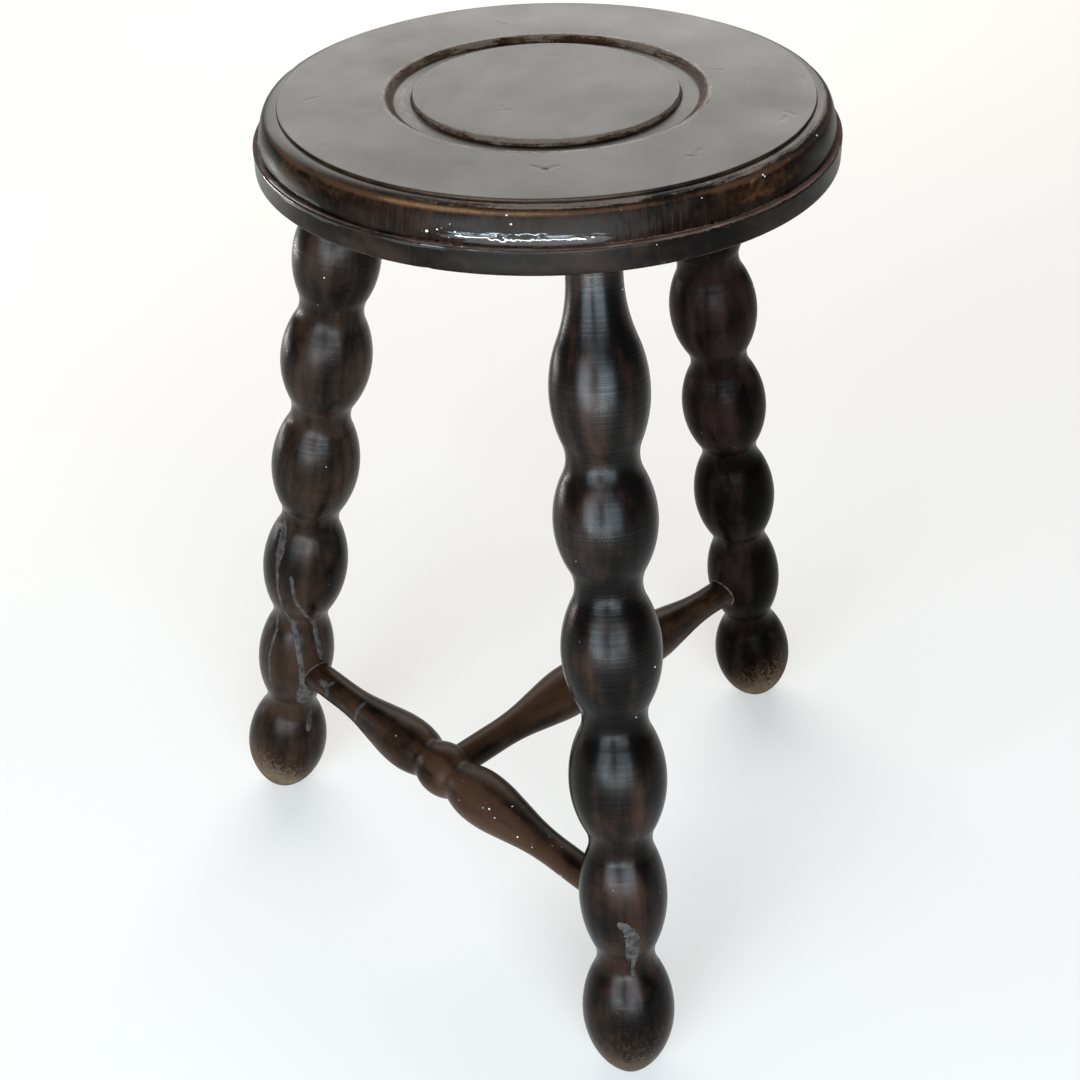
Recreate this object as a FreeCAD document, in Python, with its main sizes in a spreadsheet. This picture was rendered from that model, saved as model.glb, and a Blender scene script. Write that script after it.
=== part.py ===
import FreeCAD, Part
import math
import os

import Sketcher
from FreeCAD import Vector

# Three-legged turned stool: a round moulded seat glued up from three boards, three splayed bobbin
# legs in blind mortises under it, and a T of two turned stretchers between the legs.
# Millimetres and degrees, +Z up. The origin is on the floor, under the middle of the seat, and
# +X points at the right leg, which carries the short stretcher.

SIZES = {
    # seat
    "seat_diameter": 280.0,
    "seat_height": 480.0,
    "seat_thickness": 29.0,
    "middle_board_width": 93.0,
    "grain_angle": 41.5,
    # moulded rim, from the edge inwards
    "band_height": 12.0,
    "ledge_width": 3.0,
    "rim_moulding_width": 13.0,
    "quirk_depth": 1.4,
    "quirk_width": 1.6,
    "ovolo_top_radius": 6.5,
    "rim_rounding": 1.2,
    # ring groove in the top
    "ring_inner_diameter": 126.4,
    "ring_width": 13.1,
    "ring_depth": 3.0,
    "ring_wall_run": 1.0,
    "ring_slope_width": 4.2,
    # how the legs stand
    "leg_inset": 39.2,
    "splay_angle": 11.0,
    "legs_opening_angle": 115.0,
    # leg turning, from the seat down to the floor
    "stem_diameter": 26.0,
    "stem_length": 18.0,
    "vase_diameter": 46.8,
    "vase_length": 101.0,
    "vase_cove_radius": 80.0,
    "vase_neck_diameter": 34.8,
    "bobbin_diameter": 50.0,
    "bobbin_neck_diameter": 33.2,
    "low_bobbin_diameter": 46.2,
    "neck_cove_radius": 20.0,
    "middle_neck_lift": 1.8,
    "right_neck_lift": 1.0,
    "right_vase_drop": 2.2,
    "front_neck_lift": 3.0,
    "front_vase_drop": 2.4,
    "left_middle_neck_lift": 4.1,
    "left_neck_lift": 5.5,
    "left_vase_lift": 2.0,
    "foot_neck_diameter": 31.0,
    "foot_diameter": 49.6,
    "foot_length": 74.5,
    "foot_belly_height": 37.0,
    "foot_end_diameter": 12.0,
    "foot_levelling": 3.0,
    "foot_rounding": 3.0,
    # stretcher turning, from its middle outwards
    "stretcher_height": 103.0,
    "ball_diameter": 31.2,
    "ball_neck_diameter": 25.0,
    "ball_neck_offset": 13.5,
    "ball_neck_radius": 6.0,
    "shoulder_diameter": 31.4,
    "shoulder_offset": 32.0,
    "shoulder_radius": 95.0,
    "taper_offset": 92.0,
    "taper_cove_radius": 150.0,
    "rail_end_diameter": 18.0,
    # glued joints
    "seat_tenon_length": 20.0,
    "rail_tenon_past_axis": 4.0,
    "ball_socket_depth": 12.0,
    "glue_clearance": 0.15,
    "tenon_end_gap": 0.8,
    "tenon_chamfer": 1.5,
}
BOBBINS = 4

# Lengths that follow from the sizes, written as formulas of the sheet.
SEAT_RADIUS = "Sizes.seat_diameter / 2"
UNDERSIDE = "(Sizes.seat_height - Sizes.seat_thickness)"
SEAT_LEG_RADIUS = "(Sizes.seat_diameter / 2 - Sizes.leg_inset)"
FOOT_RADIUS = f"({SEAT_LEG_RADIUS} + {UNDERSIDE} * tan(Sizes.splay_angle))"
LEG_LENGTH = f"({UNDERSIDE} / cos(Sizes.splay_angle))"
BOBBIN_PITCH = f"(({LEG_LENGTH} - Sizes.vase_length - Sizes.foot_length) / {BOBBINS})"
RAIL_LEG_RADIUS = f"({FOOT_RADIUS} - Sizes.stretcher_height * tan(Sizes.splay_angle))"
LONG_RAIL_X = f"(-{RAIL_LEG_RADIUS} * cos(Sizes.legs_opening_angle / 2))"
LONG_RAIL_HALF_SPAN = f"({RAIL_LEG_RADIUS} * sin(Sizes.legs_opening_angle / 2))"
TENON_REACH = "(Sizes.rail_tenon_past_axis - Sizes.tenon_end_gap)"
SOCKET_FLOOR_X = f"({LONG_RAIL_X} + Sizes.ball_diameter / 2 - Sizes.ball_socket_depth)"
SHORT_RAIL_START = f"({SOCKET_FLOOR_X} + Sizes.tenon_end_gap)"
SHORT_RAIL_STOP = f"({RAIL_LEG_RADIUS} + {TENON_REACH})"

# Each leg: its bearing round the seat, the bearing of its rail mortise measured from its own, and
# how far its three upper necks lie above their places in an even row. These differ a little from
# leg to leg, as they do on legs turned by eye.
SIDE_LEG_BEARING = "(180 - Sizes.legs_opening_angle / 2)"
SIDE_LEG_TOE = "(90 - Sizes.legs_opening_angle / 2)"
LEGS = {
    "leg_right": (
        "0",
        "0",
        ("Sizes.middle_neck_lift", "Sizes.right_neck_lift", "(-Sizes.right_vase_drop)"),
    ),
    "leg_front": (
        f"-{SIDE_LEG_BEARING}",
        SIDE_LEG_TOE,
        ("Sizes.middle_neck_lift", "Sizes.front_neck_lift", "(-Sizes.front_vase_drop)"),
    ),
    "leg_left": (
        SIDE_LEG_BEARING,
        f"-{SIDE_LEG_TOE}",
        ("Sizes.left_middle_neck_lift", "Sizes.left_neck_lift", "Sizes.left_vase_lift"),
    ),
}

START, END, CENTRE = range(1, 4)
X_AXIS, Y_AXIS = range(-1, -3, -1)
ORIGIN = (X_AXIS, START)

doc = FreeCAD.newDocument("turned_stool")
sheet = doc.addObject("Spreadsheet::Sheet", "Sizes")
for row, (alias, value) in enumerate(SIZES.items(), start=1):
    sheet.set(f"A{row}", alias)
    sheet.set(f"B{row}", str(value))
    sheet.setAlias(f"B{row}", alias)
doc.recompute()


def size(formula):
    """Value of a formula of the sheet, for the first guess of a sketch."""
    return float(sheet.evalExpression(formula))


def turn(axis, angle):
    """Formula of a rotation about one axis."""
    return f"rotation(vector({axis}); {angle})"


def place(x, y, z, rotation="rotation(0; 0; 0)"):
    """Formula of a placement."""
    return f"placement(vector({x}; {y}; {z}); {rotation})"


def new_body(name, placement):
    body = doc.addObject("PartDesign::Body", name)
    body.Label = name
    body.setExpression("Placement", placement)
    return body


def new_sketch(body, name, plane, offset):
    """Sketch on one of the body's own origin planes, shifted by an offset formula."""
    sketch = body.newObject("Sketcher::SketchObject", name)
    support = [item for item in body.Origin.OriginFeatures if item.Role == plane][0]
    sketch.AttachmentSupport = (support, [""])
    sketch.MapMode = "FlatFace"
    sketch.setExpression("AttachmentOffset", offset)
    return sketch


def line(sketch, first, second):
    return sketch.addGeometry(Part.LineSegment(Vector(*first), Vector(*second)), False)


def arc(sketch, centre, first, second):
    """Arc about a centre, anticlockwise from the first point to the bearing of the second."""
    centre = Vector(*centre)
    first = Vector(*first) - centre
    second = Vector(*second) - centre
    start = math.atan2(first.y, first.x)
    stop = math.atan2(second.y, second.x)
    if stop < start:
        stop += 2 * math.pi
    circle = Part.Circle(centre, Vector(0, 0, 1), first.Length)
    return sketch.addGeometry(Part.ArcOfCircle(circle, start, stop), False)


def rule(sketch, kind, *where):
    sketch.addConstraint(Sketcher.Constraint(kind, *where))


def dimension(sketch, formula, kind, *where):
    """Dimension whose value is a formula of the sheet."""
    index = sketch.addConstraint(Sketcher.Constraint(kind, *where, size(formula)))
    sketch.setExpression(f"Constraints[{index}]", formula)


def chain(sketch, *ends):
    """Joins listed pairs of curve ends."""
    for first, second in ends:
        rule(sketch, "Coincident", *first, *second)


def spin(body, sketch, name):
    """Turns a half profile about the body's own length."""
    feature = body.newObject("PartDesign::Revolution", name)
    feature.Profile = sketch
    feature.ReferenceAxis = (sketch, ["V_Axis"])
    feature.Angle = 360.0
    doc.recompute()


def groove(body, sketch, name):
    """Cuts a profile away all round the body's own axis."""
    before = body.Shape.Volume
    feature = body.newObject("PartDesign::Groove", name)
    feature.Profile = sketch
    feature.ReferenceAxis = (sketch, ["V_Axis"])
    feature.Angle = 360.0
    doc.recompute()
    if body.Shape.Volume >= before:
        raise RuntimeError(f"{name} cuts nothing from {body.Label}")


def bore(body, name, radius, offset, depth):
    """Round hole along a slanted line: its sketch lies at the offset, and the hole runs along the
    sketch's own normal for the depth."""
    sketch = new_sketch(body, f"{name}_circle", "XY_Plane", offset)
    circle = sketch.addGeometry(Part.Circle(Vector(0, 0, 0), Vector(0, 0, 1), size(radius)), False)
    rule(sketch, "Coincident", circle, CENTRE, *ORIGIN)
    dimension(sketch, radius, "Radius", circle)
    pocket = body.newObject("PartDesign::Pocket", name)
    pocket.Profile = sketch
    pocket.Type = "Length"
    pocket.Reversed = True
    pocket.setExpression("Length", depth)
    doc.recompute()


def round_edges(body, name, edges, radius):
    base = body.Tip
    fillet = body.newObject("PartDesign::Fillet", name)
    fillet.Base = (base, edges)
    fillet.setExpression("Radius", radius)
    doc.recompute()


# Seat


def board_outline(sketch, side):
    """Plan of one board of the round: side -1 and 1 are the outer boards, 0 the middle one. The
    grain runs along the sketch's Y."""
    radius = size(SEAT_RADIUS)
    joint = size("Sizes.middle_board_width / 2")
    half = math.sqrt(radius * radius - joint * joint)
    arcs, joints = [], []
    if side >= 0:
        joints.append(line(sketch, (joint, -half), (joint, half)))
    if side <= 0:
        joints.append(line(sketch, (-joint, half), (-joint, -half)))
    if side == 0:
        arcs.append(arc(sketch, (0, 0), (joint, half), (-joint, half)))
        arcs.append(arc(sketch, (0, 0), (-joint, -half), (joint, -half)))
        right, left = joints
        top, bottom = arcs
        chain(sketch, ((right, END), (top, START)), ((top, END), (left, START)))
        chain(sketch, ((left, END), (bottom, START)), ((bottom, END), (right, START)))
    else:
        ends = ((side * joint, -half), (side * joint, half))
        arcs.append(arc(sketch, (0, 0), ends[0] if side > 0 else ends[1], ends[1] if side > 0 else ends[0]))
        chain(sketch, ((joints[0], START), (arcs[0], START)), ((joints[0], END), (arcs[0], END)))
    for curve in arcs:
        rule(sketch, "Coincident", curve, CENTRE, *ORIGIN)
        dimension(sketch, SEAT_RADIUS, "Radius", curve)
    for joint_line in joints:
        rule(sketch, "Vertical", joint_line)
        outwards = sketch.Geometry[joint_line].StartPoint.x > 0
        ends = (*ORIGIN, joint_line, START) if outwards else (joint_line, START, *ORIGIN)
        dimension(sketch, "Sizes.middle_board_width / 2", "DistanceX", *ends)


def rim_profile(sketch):
    """Waste that the rim moulding leaves: a quirk, a thumb of two arcs and a ledge over the band."""
    edge = size(SEAT_RADIUS)
    top = size("Sizes.seat_thickness")
    flat = edge - size("Sizes.rim_moulding_width")
    quirk_floor = top - size("Sizes.quirk_depth")
    thumb_start = flat + size("Sizes.quirk_width")
    thumb_end = edge - size("Sizes.ledge_width")
    band = size("Sizes.band_height")
    small = size("Sizes.ovolo_top_radius")
    run, drop = thumb_end - thumb_start, quirk_floor - band
    large = (run * run + drop * drop - 2 * drop * small) / (2 * (run - small))
    small_centre = Vector(thumb_start, quirk_floor - small, 0)
    large_centre = Vector(thumb_end - large, band, 0)
    meet = large_centre + (small_centre - large_centre).normalize() * large
    out = edge + band
    above = top + band
    wall = line(sketch, (flat, above), (flat, quirk_floor))
    floor = line(sketch, (flat, quirk_floor), (thumb_start, quirk_floor))
    upper = arc(sketch, tuple(small_centre), tuple(meet), (thumb_start, quirk_floor))
    lower = arc(sketch, tuple(large_centre), (thumb_end, band), tuple(meet))
    ledge = line(sketch, (thumb_end, band), (out, band))
    side = line(sketch, (out, band), (out, above))
    lid = line(sketch, (out, above), (flat, above))
    chain(sketch, ((wall, END), (floor, START)), ((floor, END), (upper, END)))
    chain(sketch, ((lower, START), (ledge, START)), ((ledge, END), (side, START)))
    chain(sketch, ((side, END), (lid, START)), ((lid, END), (wall, START)))
    rule(sketch, "Tangent", upper, START, lower, END)
    for straight in (wall, side):
        rule(sketch, "Vertical", straight)
    for level in (floor, ledge, lid):
        rule(sketch, "Horizontal", level)
    rule(sketch, "Vertical", upper, CENTRE, floor, END)
    rule(sketch, "Horizontal", lower, CENTRE, ledge, START)
    dimension(sketch, "Sizes.ovolo_top_radius", "Radius", upper)
    dimension(sketch, f"{SEAT_RADIUS} - Sizes.rim_moulding_width", "DistanceX", *ORIGIN, wall, END)
    dimension(sketch, "Sizes.quirk_width", "DistanceX", floor, START, floor, END)
    dimension(sketch, f"{SEAT_RADIUS} - Sizes.ledge_width", "DistanceX", *ORIGIN, ledge, START)
    dimension(sketch, "Sizes.seat_thickness - Sizes.quirk_depth", "DistanceY", *ORIGIN, floor, END)
    dimension(sketch, "Sizes.band_height", "DistanceY", *ORIGIN, ledge, START)
    dimension(sketch, f"{SEAT_RADIUS} + Sizes.band_height", "DistanceX", *ORIGIN, side, START)
    dimension(sketch, "Sizes.seat_thickness + Sizes.band_height", "DistanceY", *ORIGIN, side, END)


def ring_profile(sketch):
    """Waste of the ring groove: a steep inner wall, a flat floor and a slope up to the outer edge."""
    inner = size("Sizes.ring_inner_diameter / 2")
    outer = inner + size("Sizes.ring_width")
    top = size("Sizes.seat_thickness")
    depth = size("Sizes.ring_depth")
    floor_start = inner + size("Sizes.ring_wall_run")
    floor_end = outer - size("Sizes.ring_slope_width")
    wall = line(sketch, (inner, top), (floor_start, top - depth))
    floor = line(sketch, (floor_start, top - depth), (floor_end, top - depth))
    slope = line(sketch, (floor_end, top - depth), (outer, top))
    lid = line(sketch, (outer, top), (inner, top))
    chain(sketch, ((wall, END), (floor, START)), ((floor, END), (slope, START)))
    chain(sketch, ((slope, END), (lid, START)), ((lid, END), (wall, START)))
    rule(sketch, "Horizontal", floor)
    rule(sketch, "Horizontal", lid)
    dimension(sketch, "Sizes.ring_inner_diameter / 2", "DistanceX", *ORIGIN, wall, START)
    dimension(sketch, "Sizes.ring_wall_run", "DistanceX", wall, START, wall, END)
    dimension(sketch, "Sizes.ring_width", "DistanceX", wall, START, slope, END)
    dimension(sketch, "Sizes.ring_slope_width", "DistanceX", slope, START, slope, END)
    dimension(sketch, "Sizes.seat_thickness", "DistanceY", *ORIGIN, lid, END)
    dimension(sketch, "Sizes.ring_depth", "DistanceY", wall, END, wall, START)


def make_board(name, side):
    """One board of the seat, turned with the others as one round and bored for the legs."""
    body = new_body(name, place("0", "0", UNDERSIDE))
    along_grain = turn("0; 0; 1", "Sizes.grain_angle - 90")
    plan = new_sketch(body, "plan", "XY_Plane", place("0", "0", "0", along_grain))
    board_outline(plan, side)
    pad = body.newObject("PartDesign::Pad", "board")
    pad.Profile = plan
    pad.setExpression("Length", "Sizes.seat_thickness")
    doc.recompute()
    for cut, profile in (("rim", rim_profile), ("ring", ring_profile)):
        sketch = new_sketch(body, f"{cut}_profile", "XZ_Plane", place("0", "0", "0"))
        profile(sketch)
        groove(body, sketch, f"{cut}_groove")
    for leg, (bearing, *_) in LEGS.items():
        radius = "Sizes.stem_diameter / 2 + Sizes.glue_clearance"
        out_x, out_y = f"{SEAT_LEG_RADIUS} * cos({bearing})", f"{SEAT_LEG_RADIUS} * sin({bearing})"
        foot_of_bore = place(out_x, out_y, "0")
        tilt = f"{turn('0; 0; 1', bearing)} * {turn('0; 1; 0', '-Sizes.splay_angle')}"
        back_off = place("0", "0", "-Sizes.stem_diameter")
        offset = f"{foot_of_bore} * {place('0', '0', '0', tilt)} * {back_off}"
        depth = "Sizes.stem_diameter + Sizes.seat_tenon_length + Sizes.tenon_end_gap"
        bore(body, f"mortise_{leg}", radius, offset, depth)
    rim = size(SEAT_RADIUS)
    lip = [
        f"Edge{number}"
        for number, edge in enumerate(body.Tip.Shape.Edges, start=1)
        if isinstance(edge.Curve, Part.Circle) and abs(edge.Curve.Radius - rim) < 1e-6
    ]
    round_edges(body, "rim_rounding", lip, "Sizes.rim_rounding")
    return body


# Legs


def bead_profile(sketch, length, low, high, belly, low_cove, high_cove):
    """Half profile of one turned swelling between two necks: a cove, the belly and a cove, all
    tangent. The coves end level with the necks, so that the next swelling carries on smoothly."""
    top, foot, head, wide, first, second = map(size, (length, low, high, belly, low_cove, high_cove))
    middle = top / 2
    rise = wide - foot - first
    radius = (middle * middle + rise * rise - first * first) / (2 * (wide - foot))
    centre = Vector(wide - radius, middle, 0)
    low_centre, high_centre = Vector(foot + first, 0, 0), Vector(head + second, top, 0)
    low_meet = centre + (low_centre - centre).normalize() * radius
    high_meet = centre + (high_centre - centre).normalize() * radius
    axis = line(sketch, (0, 0), (0, top))
    base = line(sketch, (0, 0), (foot, 0))
    lower = arc(sketch, tuple(low_centre), tuple(low_meet), (foot, 0))
    bulge = arc(sketch, tuple(centre), tuple(low_meet), tuple(high_meet))
    upper = arc(sketch, tuple(high_centre), (head, top), tuple(high_meet))
    lid = line(sketch, (head, top), (0, top))
    widest = sketch.addGeometry(Part.Point(Vector(wide, middle, 0)), True)
    chain(sketch, (ORIGIN, (axis, START)), (ORIGIN, (base, START)), ((base, END), (lower, END)))
    chain(sketch, ((upper, START), (lid, START)), ((lid, END), (axis, END)))
    rule(sketch, "Tangent", lower, START, bulge, START)
    rule(sketch, "Tangent", bulge, END, upper, END)
    rule(sketch, "Vertical", axis)
    rule(sketch, "Horizontal", base)
    rule(sketch, "Horizontal", lid)
    rule(sketch, "PointOnObject", lower, CENTRE, X_AXIS)
    rule(sketch, "Horizontal", upper, CENTRE, lid, START)
    rule(sketch, "PointOnObject", widest, START, bulge)
    rule(sketch, "Horizontal", widest, START, bulge, CENTRE)
    dimension(sketch, length, "DistanceY", axis, START, axis, END)
    dimension(sketch, low, "DistanceX", base, START, base, END)
    dimension(sketch, high, "DistanceX", lid, END, lid, START)
    dimension(sketch, belly, "DistanceX", *ORIGIN, widest, START)
    dimension(sketch, low_cove, "Radius", lower)
    dimension(sketch, high_cove, "Radius", upper)


def foot_profile(sketch):
    """Half profile of the egg foot: two tangent arcs that share the belly's height, then a cove."""
    low = -size("Sizes.foot_levelling")
    tip = size("Sizes.foot_end_diameter / 2")
    wide = size("Sizes.foot_diameter / 2")
    belly = size("Sizes.foot_belly_height")
    neck = size("Sizes.foot_neck_diameter / 2")
    top = size("Sizes.foot_length")
    cove = size("Sizes.neck_cove_radius")
    run, drop = wide - tip, belly - low
    lower_radius = (run * run + drop * drop) / (2 * run)
    rise, reach = wide - neck - cove, top - belly
    upper_radius = (reach * reach + rise * rise - cove * cove) / (2 * (wide - neck))
    upper_centre, cove_centre = Vector(wide - upper_radius, belly, 0), Vector(neck + cove, top, 0)
    meet = upper_centre + (cove_centre - upper_centre).normalize() * upper_radius
    axis = line(sketch, (0, low), (0, top))
    base = line(sketch, (0, low), (tip, low))
    lower = arc(sketch, (wide - lower_radius, belly), (tip, low), (wide, belly))
    upper = arc(sketch, tuple(upper_centre), (wide, belly), tuple(meet))
    curve = arc(sketch, tuple(cove_centre), (neck, top), tuple(meet))
    lid = line(sketch, (neck, top), (0, top))
    chain(sketch, ((axis, START), (base, START)), ((base, END), (lower, START)))
    chain(sketch, ((curve, START), (lid, START)), ((lid, END), (axis, END)))
    rule(sketch, "Tangent", lower, END, upper, START)
    rule(sketch, "Tangent", upper, END, curve, END)
    rule(sketch, "PointOnObject", axis, START, Y_AXIS)
    rule(sketch, "Vertical", axis)
    rule(sketch, "Horizontal", base)
    rule(sketch, "Horizontal", lid)
    rule(sketch, "Horizontal", lower, CENTRE, lower, END)
    rule(sketch, "Horizontal", curve, CENTRE, lid, START)
    dimension(sketch, "Sizes.foot_levelling", "DistanceY", axis, START, *ORIGIN)
    dimension(sketch, "Sizes.foot_end_diameter / 2", "DistanceX", base, START, base, END)
    dimension(sketch, "Sizes.foot_diameter / 2", "DistanceX", *ORIGIN, lower, END)
    dimension(sketch, "Sizes.foot_belly_height", "DistanceY", *ORIGIN, lower, END)
    dimension(sketch, "Sizes.foot_neck_diameter / 2", "DistanceX", lid, END, lid, START)
    dimension(sketch, "Sizes.foot_length", "DistanceY", *ORIGIN, lid, START)
    dimension(sketch, "Sizes.neck_cove_radius", "Radius", curve)


def stem_profile(sketch):
    """Half profile of the straight stem and its tenon, with a chamfered end."""
    radius = size("Sizes.stem_diameter / 2")
    top = size("Sizes.stem_length + Sizes.seat_tenon_length")
    chamfer = size("Sizes.tenon_chamfer")
    axis = line(sketch, (0, 0), (0, top))
    base = line(sketch, (0, 0), (radius, 0))
    side = line(sketch, (radius, 0), (radius, top - chamfer))
    corner = line(sketch, (radius, top - chamfer), (radius - chamfer, top))
    lid = line(sketch, (radius - chamfer, top), (0, top))
    chain(sketch, (ORIGIN, (axis, START)), (ORIGIN, (base, START)), ((base, END), (side, START)))
    chain(sketch, ((side, END), (corner, START)), ((corner, END), (lid, START)), ((lid, END), (axis, END)))
    for straight in (axis, side):
        rule(sketch, "Vertical", straight)
    for level in (base, lid):
        rule(sketch, "Horizontal", level)
    dimension(sketch, "Sizes.stem_diameter / 2", "DistanceX", base, START, base, END)
    dimension(sketch, "Sizes.stem_length + Sizes.seat_tenon_length", "DistanceY", axis, START, axis, END)
    dimension(sketch, "Sizes.tenon_chamfer", "DistanceX", corner, END, corner, START)
    dimension(sketch, "Sizes.tenon_chamfer", "DistanceY", corner, START, corner, END)


def make_leg(name, bearing, toe, upper_lifts):
    """One leg. Its own Z runs up the turning from where the leg's axis meets the floor."""
    stance = f"{turn('0; 0; 1', bearing)} * {turn('0; 1; 0', '-Sizes.splay_angle')}"
    out_x, out_y = f"{FOOT_RADIUS} * cos({bearing})", f"{FOOT_RADIUS} * sin({bearing})"
    body = new_body(name, place(out_x, out_y, "0", stance))
    sketch = new_sketch(body, "foot_profile", "XZ_Plane", place("0", "0", "0"))
    foot_profile(sketch)
    spin(body, sketch, "foot")
    cove = "Sizes.neck_cove_radius"
    lifts = ("0", "0", *upper_lifts)
    for number in range(BOBBINS):
        lowest, highest = number == 0, number == BOBBINS - 1
        low = "Sizes.foot_neck_diameter / 2" if lowest else "Sizes.bobbin_neck_diameter / 2"
        high = "Sizes.vase_neck_diameter / 2" if highest else "Sizes.bobbin_neck_diameter / 2"
        belly = "Sizes.low_bobbin_diameter / 2" if lowest else "Sizes.bobbin_diameter / 2"
        base = f"Sizes.foot_length + {number} * {BOBBIN_PITCH} + {lifts[number]}"
        length = f"{BOBBIN_PITCH} + {lifts[number + 1]} - {lifts[number]}"
        sketch = new_sketch(body, f"bobbin_{number + 1}_profile", "XZ_Plane", place("0", base, "0"))
        bead_profile(sketch, length, low, high, belly, cove, cove)
        spin(body, sketch, f"bobbin_{number + 1}")
    base = f"{LEG_LENGTH} - Sizes.vase_length + {lifts[-1]}"
    sketch = new_sketch(body, "vase_profile", "XZ_Plane", place("0", base, "0"))
    bead_profile(
        sketch,
        f"Sizes.vase_length - Sizes.stem_length - {lifts[-1]}",
        "Sizes.vase_neck_diameter / 2",
        "Sizes.stem_diameter / 2",
        "Sizes.vase_diameter / 2",
        cove,
        "Sizes.vase_cove_radius",
    )
    spin(body, sketch, "vase")
    base = f"{LEG_LENGTH} - Sizes.stem_length"
    sketch = new_sketch(body, "stem_profile", "XZ_Plane", place("0", base, "0"))
    stem_profile(sketch)
    spin(body, sketch, "stem")
    # The mortise for the rail starts past the leg's axis and runs out through the side.
    aim = f"{turn('0; 1; 0', 'Sizes.splay_angle')} * {turn('0; 0; 1', toe)} * {turn('0; 1; 0', '-90')}"
    axis_point = place("0", "0", "Sizes.stretcher_height / cos(Sizes.splay_angle)", aim)
    back_off = place("0", "0", "-Sizes.rail_tenon_past_axis")
    radius = "Sizes.rail_end_diameter / 2 + Sizes.glue_clearance"
    bore(body, "rail_mortise", radius, f"{axis_point} * {back_off}", "Sizes.bobbin_diameter")
    # The foot is levelled to the floor and its edge worn round.
    level = place("0", "0", "0", turn("0; 1; 0", "Sizes.splay_angle"))
    down = place("0", "0", "-Sizes.foot_diameter")
    bore(body, "levelling", "Sizes.foot_diameter", f"{level} * {down}", "Sizes.foot_diameter")
    floor_faces = [face for face in body.Tip.Shape.Faces if isinstance(face.Surface, Part.Plane)]
    sole = min(floor_faces, key=lambda face: face.CenterOfMass.z)
    edges = [
        f"Edge{number}"
        for number, edge in enumerate(body.Tip.Shape.Edges, start=1)
        if any(edge.isSame(other) for other in sole.Edges)
    ]
    round_edges(body, "foot_rounding", edges, "Sizes.foot_rounding")
    return body


# Stretchers


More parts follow.
